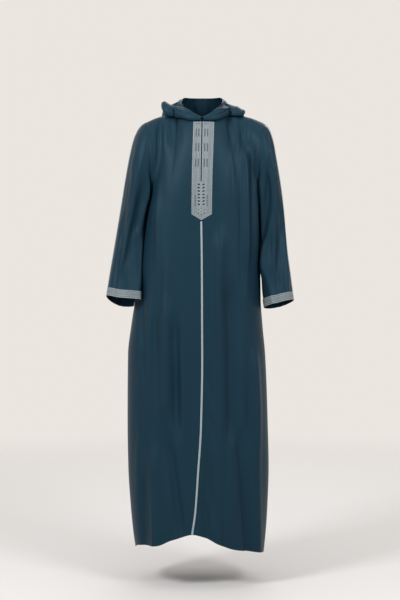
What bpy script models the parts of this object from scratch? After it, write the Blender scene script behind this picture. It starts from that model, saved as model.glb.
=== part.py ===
"""A hooded djellaba robe in its worn, hollow form. Metres, +Z up.

The origin is the centre of the neck base at the height of the shoulder line. The front faces -Y and
+X is the wearer's left. Two half fronts, a back, two sleeves and a hood are thin walls; the placket,
the centre braid, the cuff bands and the sleeve braids lie on them.
"""

from collections import namedtuple

import bpy
import numpy as np

# ---------------------------------------------------------------- driving dimensions
CLOTH = 0.0016  # thickness of a cloth wall
BAND = 0.0014  # thickness of the placket and the cuff bands
BRAID = 0.0020  # thickness of the narrow braids
GAP = 0.0003  # clearance between neighbouring pieces
SEAM = 0.0004  # distance from a seam's line to each panel's edge

UNDERARM_Z = -0.270
SQUARENESS = 2.6  # exponent of the body's rounded sections
SIDE_SEAM_Y = 0.004

ARM_SHARE = 0.60  # from here to the side seam, a panel turns to follow the armhole
ARM_RISE = 0.14  # how strongly the armhole rises as it leaves the underarm
YOKE_LEAVE = 0.29  # how strongly the skirt's slope carries on above the underarm
SLOPE_STEP = 0.002
# How strongly a panel runs on as it arrives at its top: at the neck, the shoulder's part more, and up.
ARRIVE_NECK = 0.10
ARRIVE_SHOULDER = 0.13
ARRIVE_UP = 0.16
SHOULDER_FROM = 0.05  # from here a panel's top turns from the neck's slope to the shoulder's
SHOULDER_OVER = 0.50  # and over this share of its width
NECK_SHARE = 0.40  # part of a panel's top edge that is neckline; the rest is shoulder
NECK_HALF_WIDTH = 0.078
NECK_FRONT_Y = -0.080
NECK_BACK_Y = 0.066
NECK_FRONT_Z = -0.020
NECK_SIDE_Z = 0.008
NECK_BACK_Z = 0.004
SHOULDER_DROP = 0.030
SHOULDER_CURVE = 2.2
NECK_CURVE = 1.5  # how the neckline falls from the sides to the centre
TOP_INSIDE = 1.985  # normals at the top edge are taken here, just inside it
EDGE_CALM = 0.06  # a fold dies over this share of a panel beside its side seam

CUFF_BAND = 0.026  # height of the cuff bands
CUFF_END = 0.9995  # how far along the sleeve the cuff bands reach
LAID_CLEAR = 0.0003  # more clearance under a trim, whose points lie between the panel's own
BRAID_WIDTH = 0.0068
BRAID_COLUMNS = np.array([-1.0, -0.4, 0.4, 1.0])  # across a braid, its edges at -1 and 1
BRAID_CROWN = np.array([0.55, 1.0, 1.0, 0.55])  # its thickness there, as a share of BRAID
BRAID_START = 0.004  # from the placket's point to the centre braid
BRAID_CUFF_GAP = 0.001  # between a sleeve braid and its cuff band
SLEEVE_BRAID_START = 0.012  # how far along the sleeve a sleeve braid starts
BRAID_ANGLE = {-1: 4.0, 1: -22.0}  # where the sleeve braids lie, from the outer line

PLACKET_TOP_Z = -0.0262
PLACKET_SQUARE_Z = -0.324
PLACKET_TIP_Z = -0.343
PLACKET_TIP_DROP = 0.001  # the point's edge lies this much below the square's corners
# Width of the placket's two sides, from the slit's line to its edges, at its top and its foot.
PLACKET_TOP = {-1: 0.0277, 1: 0.0386}
PLACKET_FOOT = {-1: 0.0308, 1: 0.0336}
PLACKET_FOOT_BAND = 0.012  # height of the plain band above the placket's point
SLIT_END_Z = -0.221
SLIT_HALF_WIDTH = 0.0022  # in the placket
SLIT_CLOTH_HALF = 0.0019  # between the two fronts
SLIT_CLOSE = 0.016  # height over which the fronts come together at the slit's foot
SLOTS = 7  # pairs of slanted slots below the slit
SLOT_FIRST_Z = -0.2285
SLOT_PITCH = 0.0106
SLOT_HEIGHT = 0.0050
SLOT_INNER = 0.0032
SLOT_OUTER = 0.0118
SLOT_SLANT = 0.40

CLOTH_COLOUR = (0.020, 0.050, 0.078, 1.0)
TRIM_COLOUR = (0.36, 0.40, 0.42, 1.0)

# The body's girth at each height: half widths to the wearer's right and left, depths of the front
# and the back, and where the centre-front seam lies.
Girth = namedtuple("Girth", "z right left front back seam")
GIRTHS = [
    Girth(-1.430, 0.2150, 0.2010, 0.170, 0.165, -0.0385),
    Girth(-1.360, 0.2260, 0.2090, 0.166, 0.163, -0.0335),
    Girth(-1.270, 0.2350, 0.2150, 0.161, 0.159, -0.0215),
    Girth(-1.150, 0.2425, 0.2190, 0.155, 0.154, -0.0130),
    Girth(-1.000, 0.2450, 0.2150, 0.149, 0.149, -0.0035),
    Girth(-0.780, 0.2435, 0.2060, 0.143, 0.143, 0.0005),
    Girth(-0.680, 0.2320, 0.1975, 0.141, 0.139, 0.0000),
    Girth(-0.600, 0.2195, 0.1925, 0.139, 0.136, -0.0002),
    Girth(-0.480, 0.2040, 0.1915, 0.136, 0.132, -0.0008),
    Girth(-0.380, 0.1895, 0.1915, 0.133, 0.130, -0.0020),
    Girth(-0.310, 0.1790, 0.1895, 0.131, 0.128, -0.0028),
    Girth(UNDERARM_Z, 0.1700, 0.1865, 0.130, 0.127, -0.0030),
]

# Height of the hem across each panel, from the wearer's right side seam (-1) to the left one (1).
Hem = namedtuple("Hem", "across front back")
HEMS = [
    Hem(-1.00, -1.412, -1.412),
    Hem(-0.60, -1.387, -1.402),
    Hem(-0.35, -1.380, -1.398),
    Hem(-0.22, -1.363, -1.397),
    Hem(-0.12, -1.353, -1.396),
    Hem(0.00, -1.343, -1.396),
    Hem(0.12, -1.354, -1.397),
    Hem(0.22, -1.373, -1.398),
    Hem(0.35, -1.392, -1.400),
    Hem(0.60, -1.409, -1.408),
    Hem(0.85, -1.421, -1.420),
    Hem(1.00, -1.428, -1.428),
]

# The armholes: the shoulder point, and how far the loop bows to the front, the back and the neck.
Armhole = namedtuple("Armhole", "side shoulder_x shoulder_z bow_front bow_back bow_in")
ARMHOLES = {
    -1: Armhole(-1, 0.190, -0.022, 0.320, 0.340, 0.036),
    1: Armhole(1, 0.203, -0.022, 0.320, 0.340, 0.028),
}

# Sleeve sections, from the armhole (0) to the cuff (1): the outer and the inner edge, the middle's
# y, the half depth, the angle by which the section's front is raised, how far the front and the back
# both drop below the edges, and how far the inner side takes the form of the body that it lies on.
Ring = namedtuple("Ring", "along outer_x outer_z inner_x inner_z middle_y depth lean drop rest")
SLEEVE_RIGHT = [
    Ring(0.00, 0.1900, -0.022, 0.1735, -0.270, 0.004, 0.083, 0, 0.000, 0.0),
    Ring(0.06, 0.2065, -0.040, 0.1755, -0.274, 0.004, 0.084, 0, 0.000, 0.5),
    Ring(0.13, 0.2215, -0.072, 0.1785, -0.282, 0.005, 0.084, 0, 0.000, 0.9),
    Ring(0.23, 0.2360, -0.130, 0.1820, -0.300, 0.008, 0.083, 0, 0.000, 1.0),
    Ring(0.34, 0.2490, -0.200, 0.1865, -0.332, 0.010, 0.080, 1, 0.000, 1.0),
    Ring(0.47, 0.2620, -0.280, 0.1925, -0.380, 0.010, 0.077, 3, 0.001, 1.0),
    Ring(0.60, 0.2750, -0.360, 0.2010, -0.430, 0.003, 0.073, 6, 0.002, 1.0),
    Ring(0.73, 0.2880, -0.440, 0.2070, -0.488, -0.010, 0.070, 9, 0.004, 1.0),
    Ring(0.87, 0.3005, -0.517, 0.2110, -0.548, -0.024, 0.067, 12, 0.007, 1.0),
    Ring(1.00, 0.3110, -0.588, 0.2160, -0.606, -0.038, 0.065, 14, 0.009, 1.0),
]
SLEEVE_LEFT = [
    Ring(0.00, 0.2030, -0.022, 0.1860, -0.270, 0.004, 0.083, 0, 0.000, 0.0),
    Ring(0.06, 0.2195, -0.038, 0.1875, -0.274, 0.004, 0.084, 0, 0.000, 0.5),
    Ring(0.13, 0.2310, -0.070, 0.1900, -0.282, 0.005, 0.084, 0, 0.000, 0.9),
    Ring(0.23, 0.2415, -0.130, 0.1905, -0.300, 0.008, 0.083, 0, 0.000, 1.0),
    Ring(0.34, 0.2530, -0.200, 0.1908, -0.332, 0.010, 0.081, 1, 0.000, 1.0),
    Ring(0.47, 0.2622, -0.280, 0.1912, -0.380, 0.010, 0.079, 3, 0.000, 1.0),
    Ring(0.60, 0.2705, -0.360, 0.1915, -0.432, 0.003, 0.076, 5, 0.001, 1.0),
    Ring(0.73, 0.2785, -0.442, 0.1925, -0.492, -0.010, 0.073, 7, 0.001, 1.0),
    Ring(0.87, 0.2885, -0.521, 0.1955, -0.560, -0.024, 0.069, 9, 0.002, 0.3),
    Ring(1.00, 0.2980, -0.600, 0.2020, -0.623, -0.038, 0.066, 9, 0.003, 0.0),
]
SLEEVES = {-1: SLEEVE_RIGHT, 1: SLEEVE_LEFT}
SLEEVE_SEAM = 0.0020  # from the armhole's line to the sleeve's edge, past the panel's thickness
SLEEVE_CLEAR = 0.0040  # how far the sleeve's inner side stands off the body under the arm
CLEAR_FROM, CLEAR_TO, CLEAR_FADE = 0.05, 0.7, 0.4  # where along it the sleeve does so
REST_SPAN = 0.90  # the part of the sleeve's inner half that eases on to the body
SLEEVE_SETTLE = 0.30  # how far along the sleeve its form passes from the armhole's loop to the rings

# Long folds of the body: where each starts and ends, its height (a trough is negative) and width.
Fold = namedtuple("Fold", "x_top z_top x_low z_low height width")
FRONT_FOLDS = [
    Fold(0.140, -0.085, 0.143, -0.520, 0.0075, 0.013),
    Fold(0.056, -0.340, 0.048, -1.500, 0.0100, 0.019),
    Fold(0.088, -0.500, 0.092, -1.080, -0.0110, 0.015),
    Fold(0.118, -0.980, 0.158, -1.500, -0.0130, 0.015),
    Fold(0.166, -0.720, 0.182, -1.500, 0.0090, 0.014),
    Fold(0.020, -1.040, 0.014, -1.500, -0.0060, 0.012),
    Fold(-0.114, -0.560, -0.120, -1.020, 0.0090, 0.016),
    Fold(-0.088, -0.620, -0.078, -1.080, -0.0110, 0.014),
    Fold(-0.112, -1.000, -0.058, -1.400, -0.0120, 0.015),
    Fold(-0.150, -1.040, -0.150, -1.500, 0.0110, 0.020),
    Fold(-0.188, -1.120, -0.184, -1.500, -0.0080, 0.012),
    Fold(-0.200, -0.480, -0.186, -0.880, -0.0080, 0.012),
]
BACK_FOLDS = [
    Fold(0.000, -0.520, 0.004, -1.500, 0.0100, 0.020),
    Fold(0.048, -0.420, 0.060, -1.500, -0.0120, 0.018),
    Fold(-0.052, -0.460, -0.066, -1.500, -0.0110, 0.018),
    Fold(0.104, -0.300, 0.118, -1.500, 0.0110, 0.020),
    Fold(-0.106, -0.340, -0.128, -1.500, 0.0100, 0.020),
    Fold(0.148, -0.560, 0.166, -1.500, -0.0110, 0.014),
    Fold(-0.158, -0.600, -0.182, -1.500, -0.0120, 0.015),
]
FOLD_FADE = 0.10  # length over which a fold grows and dies

# Folds of the sleeves: the angle round the sleeve where each starts and ends, 0 on the outer line
# and -90 in front, how far along it runs, its height and the degrees that it spans.
SleeveFold = namedtuple("SleeveFold", "angle_top angle_low start end height span")
SLEEVE_FOLDS = {
    -1: [
        SleeveFold(-100, -112, 0.10, 0.98, -0.0070, 14),
        SleeveFold(-72, -80, 0.16, 0.90, 0.0050, 14),
        SleeveFold(-50, -52, 0.22, 0.70, -0.0045, 12),
        SleeveFold(84, 92, 0.20, 0.95, 0.0060, 18),
        SleeveFold(118, 128, 0.16, 0.80, -0.0060, 15),
    ],
    1: [
        SleeveFold(-52, -112, 0.06, 0.66, 0.0060, 15),
        SleeveFold(-84, -132, 0.08, 0.70, -0.0070, 14),
        SleeveFold(-62, -96, 0.55, 0.98, -0.0050, 15),
        SleeveFold(80, 96, 0.18, 0.95, 0.0060, 18),
        SleeveFold(120, 126, 0.22, 0.85, -0.0060, 15),
    ],
}

# The hood, from the wearer's right end of the neckline (-1) round the nape (0) to the left end (1).
# Each section leaves the neck seam, runs over the panel to its turn (a place on the panel, lifted
# off it), rises by the roll, sags, and comes back to the rim by the neck.
HoodRow = namedtuple("HoodRow", "around across down lift roll bulge sag rim_out rim_up")
HOOD = [
    HoodRow(-1.00, 0.008, 1.985, 0.0034, 0.006, 0.000, 0.000, 0.000, 0.010),
    HoodRow(-0.90, 0.100, 1.955, 0.0050, 0.010, 0.001, 0.000, -0.001, 0.020),
    HoodRow(-0.78, 0.225, 1.925, 0.0050, 0.016, 0.002, 0.001, -0.003, 0.031),
    HoodRow(-0.66, 0.345, 1.860, 0.0060, 0.024, 0.002, 0.003, -0.008, 0.034),
    HoodRow(-0.58, 0.475, 1.832, 0.0060, 0.032, 0.002, 0.006, -0.011, 0.038),
    HoodRow(-0.54, 0.535, 1.870, 0.0060, 0.036, 0.002, 0.008, -0.012, 0.041),
    HoodRow(-0.50, 0.560, 2.000, 0.0060, 0.040, 0.001, 0.013, -0.014, 0.044),
    HoodRow(-0.38, 0.540, 1.740, 0.0090, 0.034, 0.001, 0.009, -0.010, 0.052),
    HoodRow(-0.24, 0.480, 1.320, 0.0100, 0.038, 0.003, 0.003, 0.002, 0.062),
    HoodRow(-0.12, 0.270, 0.970, 0.0080, 0.034, 0.003, 0.002, 0.010, 0.064),
    HoodRow(0.00, 0.000, 0.880, 0.0060, 0.016, 0.000, 0.000, 0.012, 0.065),
    HoodRow(0.12, 0.270, 0.970, 0.0080, 0.034, 0.003, 0.002, 0.010, 0.064),
    HoodRow(0.24, 0.480, 1.320, 0.0100, 0.044, 0.003, 0.004, 0.002, 0.062),
    HoodRow(0.38, 0.560, 1.740, 0.0090, 0.028, 0.002, -0.003, -0.010, 0.056),
    HoodRow(0.50, 0.645, 2.000, 0.0060, 0.014, 0.003, -0.008, -0.012, 0.046),
    HoodRow(0.54, 0.620, 1.885, 0.0055, 0.015, 0.002, -0.006, -0.011, 0.044),
    HoodRow(0.58, 0.540, 1.842, 0.0055, 0.016, 0.002, -0.004, -0.010, 0.042),
    HoodRow(0.66, 0.375, 1.880, 0.0055, 0.018, 0.002, -0.002, -0.006, 0.038),
    HoodRow(0.78, 0.235, 1.925, 0.0050, 0.015, 0.002, 0.000, -0.002, 0.033),
    HoodRow(0.90, 0.100, 1.955, 0.0050, 0.010, 0.001, 0.000, -0.001, 0.021),
    HoodRow(1.00, 0.008, 1.985, 0.0034, 0.006, 0.000, 0.000, 0.000, 0.010),
]

UP = np.array([0.0, 0.0, 1.0])
HOOD_SEAM = 0.0021  # from the neckline to the hood's first edge
HOOD_SPREAD = 1.35  # how closely a section's points crowd towards its seam
# Where the panel below it faces up, a section is lifted straight up; below that, outward by this much.
ON_TOP_FROM, ON_TOP_OVER, LIFT_OUT = 1.25, 0.70, 1.35
HOOD_STAND = 0.24  # how far the hood stands off the panel beyond its seam, as a share of the roll
STAND_RUN = 0.10  # a section this long stands off fully
STAND_RISE = 0.018  # the length over which it rises off the seam
TURN_START, TURN_END = 0.45, 0.62  # the stretch of each section that turns back on itself
TURN_SWELL = 0.35  # the turn's own bulge, as a share of the roll
TURN_BESIDE = 0.85  # the place on a section that gives the turn's direction
RIM_BLEND = 0.55  # the last part of the upper layer, which rises to the rim

# How finely each wall is divided: columns of a half panel under the neckline and under the shoulder.
NECK_COLUMNS = 5
FRONT_SHOULDER_COLUMNS = 10
BACK_SHOULDER_COLUMNS = 8
SKIRT_ROWS = 16
YOKE_ROWS = 10
SLEEVE_ROWS = 16
HOOD_SECTIONS = [(0, 0.0), (6, 0.40), (16, 0.70), (21, 0.994)]  # counted from the nape, and where
HOOD_STEPS = 16
PLACKET_ROWS = 9  # along the placket's slit
CENTRE_BRAID_ROWS = 34
SLEEVE_BRAID_ROWS = 22


# ---------------------------------------------------------------- curves through tables
def table_values(rows, where):
    """Every column but the first, at `where` in the first, as one smooth curve through the rows."""
    table = np.array(rows, float)
    x, y = table[:, 0], table[:, 1:]
    step = np.diff(x)
    slope = np.diff(y, axis=0) / step[:, None]
    tangent = np.zeros_like(y)
    tangent[0], tangent[-1] = slope[0], slope[-1]
    before, after = slope[:-1], slope[1:]
    same_way = before * after > 0
    total = np.where(same_way, before + after, 1.0)
    tangent[1:-1] = np.where(same_way, 2 * before * after / total, 0.0)
    where = np.asarray(where, float)
    flat = np.clip(where.ravel(), x[0], x[-1])
    row = np.clip(np.searchsorted(x, flat, side="right") - 1, 0, len(x) - 2)
    t = ((flat - x[row]) / step[row])[:, None]
    run = step[row][:, None]
    value = (
        (2 * t**3 - 3 * t**2 + 1) * y[row]
        + (t**3 - 2 * t**2 + t) * run * tangent[row]
        + (3 * t**2 - 2 * t**3) * y[row + 1]
        + (t**3 - t**2) * run * tangent[row + 1]
    )
    return [value[:, k].reshape(where.shape) for k in range(y.shape[1])]


def smooth_step(t):
    t = np.clip(t, 0.0, 1.0)
    return t * t * (3 - 2 * t)


def hermite(start, leave, end, arrive, t):
    t = np.asarray(t)[..., None]
    return (
        (2 * t**3 - 3 * t**2 + 1) * start
        + (t**3 - 2 * t**2 + t) * leave
        + (3 * t**2 - 2 * t**3) * end
        + (t**3 - t**2) * arrive
    )


def points(x, y, z):
    return np.stack(np.broadcast_arrays(x, y, z), axis=-1).astype(float)


def unit(vectors):
    return vectors / np.maximum(np.linalg.norm(vectors, axis=-1, keepdims=True), 1e-12)


# ---------------------------------------------------------------- the body
def hem_height(q, face):
    front, back = table_values(HEMS, q)
    return front if face < 0 else back


def girth_point(q, z, face):
    """A point of the body's section at height z; q runs from one side seam (-1) to the other (1)."""
    right, left, front, back, seam = table_values(GIRTHS, z)
    side_x = np.where(q < 0, -right, left)
    middle_x = seam if face < 0 else (left - right) / 2
    depth = front if face < 0 else back
    angle = np.abs(q) * np.pi / 2
    sine, cosine = np.sin(angle), np.maximum(np.cos(angle), 0.0)
    reach = (sine**SQUARENESS + cosine**SQUARENESS) ** (-1 / SQUARENESS)
    x = middle_x + (side_x - middle_x) * reach * sine
    y = SIDE_SEAM_Y + face * depth * reach * cosine
    return points(x, y, z)


def shoulder_point(side, reach):
    """The shoulder line, from the neck (0) to the armhole (1)."""
    shoulder_x = np.where(side < 0, ARMHOLES[-1].shoulder_x, ARMHOLES[1].shoulder_x)
    x = NECK_HALF_WIDTH + (shoulder_x - NECK_HALF_WIDTH) * reach
    z = NECK_SIDE_Z - SHOULDER_DROP * reach**SHOULDER_CURVE
    return points(side * x, SIDE_SEAM_Y, z)


def neck_point(side, turn, face):
    """The neckline, from the centre of the panel (0) to the shoulder line (1)."""
    angle = turn * np.pi / 2
    depth = (NECK_FRONT_Y if face < 0 else NECK_BACK_Y) - SIDE_SEAM_Y
    low = NECK_FRONT_Z if face < 0 else NECK_BACK_Z
    x = side * NECK_HALF_WIDTH * np.sin(angle)
    y = SIDE_SEAM_Y + depth * np.cos(angle)
    z = NECK_SIDE_Z + (low - NECK_SIDE_Z) * np.cos(angle) ** NECK_CURVE
    return points(x, y, z)


def top_edge(q, face):
    side = np.where(q < 0, -1.0, 1.0)
    share = np.abs(q)
    neck = neck_point(side, np.clip(share / NECK_SHARE, 0, 1), face)
    shoulder = shoulder_point(side, np.clip((share - NECK_SHARE) / (1 - NECK_SHARE), 0, 1))
    return np.where((share <= NECK_SHARE)[..., None], neck, shoulder)


def body_form(q, v, face):
    """The panel's plain form: v is 0 at the hem, 1 at the underarm and 2 at the shoulder and neck."""
    q, v = np.broadcast_arrays(np.asarray(q, float), np.asarray(v, float))
    low = np.clip(v, 0, 1)
    z = hem_height(q, face) * (1 - low) + UNDERARM_Z * low
    skirt = girth_point(q, z, face)
    side = np.where(q < 0, -1.0, 1.0)
    share = np.abs(q)
    near_side = np.clip((share - ARM_SHARE) / (1 - ARM_SHARE), 0, 1)
    at_arm = near_side**2 * (2 - near_side)
    at_shoulder = smooth_step((share - SHOULDER_FROM) / SHOULDER_OVER)
    bow = np.where(
        q < 0,
        ARMHOLES[-1].bow_front if face < 0 else ARMHOLES[-1].bow_back,
        ARMHOLES[1].bow_front if face < 0 else ARMHOLES[1].bow_back,
    )
    bow_in = np.where(q < 0, ARMHOLES[-1].bow_in, ARMHOLES[1].bow_in)
    below = girth_point(q, UNDERARM_Z - SLOPE_STEP, face)
    onward = (girth_point(q, UNDERARM_Z, face) - below) * (YOKE_LEAVE / SLOPE_STEP)
    round_arm = points(-side * bow_in, face * bow, ARM_RISE)
    leave = onward * (1 - at_arm)[..., None] + round_arm * at_arm[..., None]
    run_on = ARRIVE_NECK + ARRIVE_SHOULDER * at_shoulder + (bow - ARRIVE_NECK - ARRIVE_SHOULDER) * at_arm
    arrive = points(side * bow_in * at_arm, -face * run_on, ARRIVE_UP * (1 - at_shoulder))
    yoke = hermite(skirt, leave, top_edge(q, face), arrive, np.clip(v - 1, 0, 1))
    return np.where((v <= 1)[..., None], skirt, yoke)


def fold_height(folds, x, z):
    height = np.zeros(np.broadcast(x, z).shape)
    for fold in folds:
        down = (fold.z_top - z) / (fold.z_top - fold.z_low)
        line = fold.x_top + (fold.x_low - fold.x_top) * np.clip(down, 0, 1)
        window = smooth_step((fold.z_top - z) / FOLD_FADE) * smooth_step((z - fold.z_low) / FOLD_FADE)
        height += fold.height * np.exp(-(((x - line) / fold.width) ** 2)) * window
    return height


def normals_of(form, u, v, u_step, v_step):
    """Unit normals of form(u, v), along its u direction times its v direction."""
    across = form(u + u_step, v) - form(u - u_step, v)
    along = form(u, v + v_step) - form(u, v - v_step)
    return unit(np.cross(across, along))


def body_outer(q, v, face):
    """The panel's outer surface, folds included."""
    q, v = np.broadcast_arrays(np.asarray(q, float), np.asarray(v, float))
    at = body_form(q, v, face)
    inside = np.minimum(v, TOP_INSIDE)
    normal = -face * normals_of(lambda a, b: body_form(a, b, face), q, inside, 1e-3, 1e-3)
    folds = FRONT_FOLDS if face < 0 else BACK_FOLDS
    at_edge = smooth_step((1 - np.abs(q)) / EDGE_CALM)
    height = fold_height(folds, at[..., 0], at[..., 2]) * at_edge
    return at + normal * height[..., None]


def body_normal(q, v, face):
    inside = np.clip(v, 1e-3, TOP_INSIDE)
    return -face * normals_of(lambda a, b: body_outer(a, b, face), np.asarray(q, float), inside, 1e-3, 1e-3)


# ---------------------------------------------------------------- the sleeves
def armhole_point(side, angle):
    """The armhole's loop: angle 0 is the shoulder point, 180 the underarm, negative is in front."""
    angle = np.asarray(angle, float)
    turned = (angle + 180) % 360 - 180
    up = 1 + (1 - np.abs(turned) / 180)
    front = body_form(np.full_like(turned, side), up, -1)
    back = body_form(np.full_like(turned, side), up, 1)
    return np.where((turned < 0)[..., None], front, back)


def sleeve_ring(side, angle, along):
    columns = table_values(SLEEVES[side], along)
    outer_x, outer_z, inner_x, inner_z, middle_y, depth, lean, drop, _ = columns
    lean = np.radians(lean)
    outer = points(side * outer_x, middle_y, outer_z)
    inner = points(side * inner_x, middle_y, inner_z)
    turn = np.radians(angle)
    back = points(0 * depth, depth * np.cos(lean), -depth * np.sin(lean))
    half = (outer - inner) / 2
    below = drop * np.sin(turn) ** 2
    ring = (outer + inner) / 2 + half * np.cos(turn)[..., None] + back * np.sin(turn)[..., None]
    return ring - points(0, 0, below)


def body_side_x(side, y, z):
    """Where the body's side lies at y and z, up to the underarm."""
    right, left, front, back, seam = table_values(GIRTHS, z)
    middle = np.where(y < SIDE_SEAM_Y, seam, (left - right) / 2)
    away = np.abs(y - SIDE_SEAM_Y) / np.where(y < SIDE_SEAM_Y, front, back)
    reach = (1 - np.minimum(away, 1) ** SQUARENESS) ** (1 / SQUARENESS)
    return middle + (np.where(side < 0, -right, left) - middle) * reach


def sleeve_form(side, angle, along):
    angle, along = np.broadcast_arrays(np.asarray(angle, float), np.asarray(along, float))
    ring = sleeve_ring(side, angle, along)
    start = armhole_point(side, angle) + np.array([side * SLEEVE_SEAM, 0, 0])
    settle = smooth_step(along / SLEEVE_SETTLE)[..., None]
    inner = (1 - np.cos(np.radians(angle))) / 2
    under_arm = smooth_step(along / CLEAR_FROM) * smooth_step((CLEAR_TO - along) / CLEAR_FADE)
    clear = SLEEVE_CLEAR * under_arm * inner
    ring = ring + (1 - settle) * (start - sleeve_ring(side, angle, 0 * along))
    ring = ring + points(side * clear, 0 * clear, 0 * clear)
    rest = table_values(SLEEVES[side], along)[-1]
    beside = body_side_x(side, ring[..., 1], ring[..., 2]) + side * SLEEVE_CLEAR
    inward = rest * smooth_step(-np.cos(np.radians(angle)) / REST_SPAN) * (beside - ring[..., 0])
    return ring + points(inward, 0 * inward, 0 * inward)


def sleeve_outer(side, angle, along):
    angle, along = np.broadcast_arrays(np.asarray(angle, float), np.asarray(along, float))
    height = np.zeros(angle.shape)
    for fold in SLEEVE_FOLDS[side]:
        run = (along - fold.start) / (fold.end - fold.start)
        line = fold.angle_top + (fold.angle_low - fold.angle_top) * np.clip(run, 0, 1)
        away = (angle - line + 180) % 360 - 180
        window = smooth_step(run / 0.25) * smooth_step((1 - run) / 0.25)
        height += fold.height * np.exp(-((away / fold.span) ** 2)) * window
    normal = normals_of(lambda a, b: sleeve_form(side, a, b), angle, along, 0.5, 1e-3)
    return sleeve_form(side, angle, along) - side * normal * height[..., None]


def sleeve_normal(side, angle, along):
    along = np.clip(along, 0.004, 1.0)
    return -side * normals_of(lambda a, b: sleeve_outer(side, a, b), angle, along, 0.5, 1e-3)


# ---------------------------------------------------------------- the hood
def hood_seam(around):
    side = np.where(around < 0, -1.0, 1.0)
    far = np.abs(around)
    front = neck_point(side, np.clip((1 - far) / 0.5, 0, 1), -1)
    back = neck_point(side, np.clip(far / 0.5, 0, 1), 1)
    return np.where((far > 0.5)[..., None], front, back)


def hood_outer(around, part):
    """The hood's outer surface: part runs from the neck seam (0), by way of the turn, to the rim (1)."""
    around, part = np.broadcast_arrays(np.asarray(around, float), np.asarray(part, float))
    across, down, lift, roll, bulge, sag, rim_out, rim_up = table_values(HOOD, around)
    side = np.where(around < 0, -1.0, 1.0)
    far = np.abs(around)
    neck_q = np.where(far > 0.5, (1 - far) / 0.5, far / 0.5) * NECK_SHARE

    seam = hood_seam(around)
    outward = unit(points(seam[..., 0], seam[..., 1] - SIDE_SEAM_Y, 0 * around))

    def over_panel(reach, height):
        """A place between the neck seam (0) and the turn (1), lifted off the panel by `height`."""
        q = side * (neck_q + (across - neck_q) * reach)
        v = 2 + (down - 2) * reach
        on_top = smooth_step((v - ON_TOP_FROM) / ON_TOP_OVER)[..., None]
        lift_way = unit(UP * on_top + outward * (LIFT_OUT - on_top))
        surface = np.where((far > 0.5)[..., None], body_outer(q, v, -1), body_outer(q, v, 1))
        return surface + lift_way * height[..., None]

    rim = seam + outward * rim_out[..., None] + UP * rim_up[..., None]

    reach = np.clip(part / TURN_START, 0, 1) ** HOOD_SPREAD
    ones = np.ones_like(part)
    turn_low = over_panel(ones, lift)
    run = np.linalg.norm(turn_low - seam, axis=-1)
    stand = HOOD_STAND * roll * smooth_step(run / STAND_RUN)
    stand = stand * smooth_step(reach * run / STAND_RISE) * (1 - reach) ** 2
    under = over_panel(reach, HOOD_SEAM + (lift - HOOD_SEAM) * smooth_step(reach) + stand)

    turn_normal = unit(over_panel(ones, lift + 0.01) - turn_low)
    away = unit(turn_low - over_panel(TURN_BESIDE * ones, lift))
    sweep = np.clip((part - TURN_START) / (TURN_END - TURN_START), 0, 1) * np.pi
    rise = roll * (1 - np.cos(sweep)) / 2
    swell = (bulge + TURN_SWELL * roll) * np.sin(sweep)
    turn = turn_low + turn_normal * rise[..., None] + away * swell[..., None]

    back_in = 1 - np.clip((part - TURN_END) / (1 - TURN_END), 0, 1)
    dip = sag * np.sin(np.pi * back_in) ** 2
    upper = over_panel(back_in, lift + roll - dip)
    to_rim = smooth_step((RIM_BLEND - back_in) / RIM_BLEND)[..., None]
    upper = upper * (1 - to_rim) + rim * to_rim

    outer = np.where((part < TURN_START)[..., None], under, turn)
    return np.where((part > TURN_END)[..., None], upper, outer)


def hood_normal(around, part):
    at = np.clip(around, -0.985, 0.985)
    return normals_of(hood_outer, at, np.clip(part, 0.01, 0.99), 5e-3, 0.01)


# ---------------------------------------------------------------- meshes
def material(name, colour, roughness):
    made = bpy.data.materials.new(name)
    made.use_nodes = True
    shader = made.node_tree.nodes["Principled BSDF"]
    shader.inputs["Base Color"].default_value = colour
    shader.inputs["Roughness"].default_value = roughness
    shader.inputs["Metallic"].default_value = 0.0
    made.diffuse_color = colour
    return made


def wall(name, outer, normal, thickness, finish, closed=False, holes=None):
    """A closed wall: `outer` is a grid of points, and the inner grid lies `thickness` behind it.

    A closed wall joins its last column to its first. `holes` marks the cells that are cut through.
    """
    rows, columns = outer.shape[:2]
    inner = outer - normal * thickness
    flat = outer.reshape(-1, 3)
    behind = rows * columns
    faces = []
    edges = {}
    for row in range(rows - 1):
        for column in range(columns if closed else columns - 1):
            if holes is not None and holes[row, column]:
                continue
            beside = (column + 1) % columns
            low, high = row * columns, (row + 1) * columns
            cell = (low + column, low + beside, high + beside, high + column)
            # Both layers are divided along the same diagonal, the shorter one, so they stay apart.
            falls = np.linalg.norm(flat[cell[0]] - flat[cell[2]])
            rises = np.linalg.norm(flat[cell[1]] - flat[cell[3]])
            turned = cell if falls <= rises else cell[1:] + cell[:1]
            for half in ((turned[0], turned[1], turned[2]), (turned[0], turned[2], turned[3])):
                faces.append(half)
                faces.append(tuple(behind + corner for corner in reversed(half)))
            for start, end in zip(cell, cell[1:] + cell[:1]):
                if (end, start) in edges:
                    del edges[(end, start)]
                else:
                    edges[(start, end)] = True
    for start, end in edges:
        faces.append((end, start, behind + start, behind + end))
    vertices = np.concatenate([outer.reshape(-1, 3), inner.reshape(-1, 3)])
    used = sorted({corner for face in faces for corner in face})
    place = {corner: k for k, corner in enumerate(used)}
    faces = [tuple(place[corner] for corner in face) for face in faces]
    mesh = bpy.data.meshes.new(name)
    mesh.from_pydata([tuple(vertices[k]) for k in used], [], faces)
    mesh.update()
    mesh.shade_smooth()
    mesh.set_sharp_from_angle(angle=np.radians(50))
    mesh.materials.append(finish)
    made = bpy.data.objects.new(name, mesh)
    bpy.context.scene.collection.objects.link(made)
    return made


def panel_rows():
    skirt = np.linspace(0, 1, SKIRT_ROWS + 1)
    yoke = np.linspace(1, 2, YOKE_ROWS + 1)
    return np.concatenate([skirt, yoke[1:]])


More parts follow.
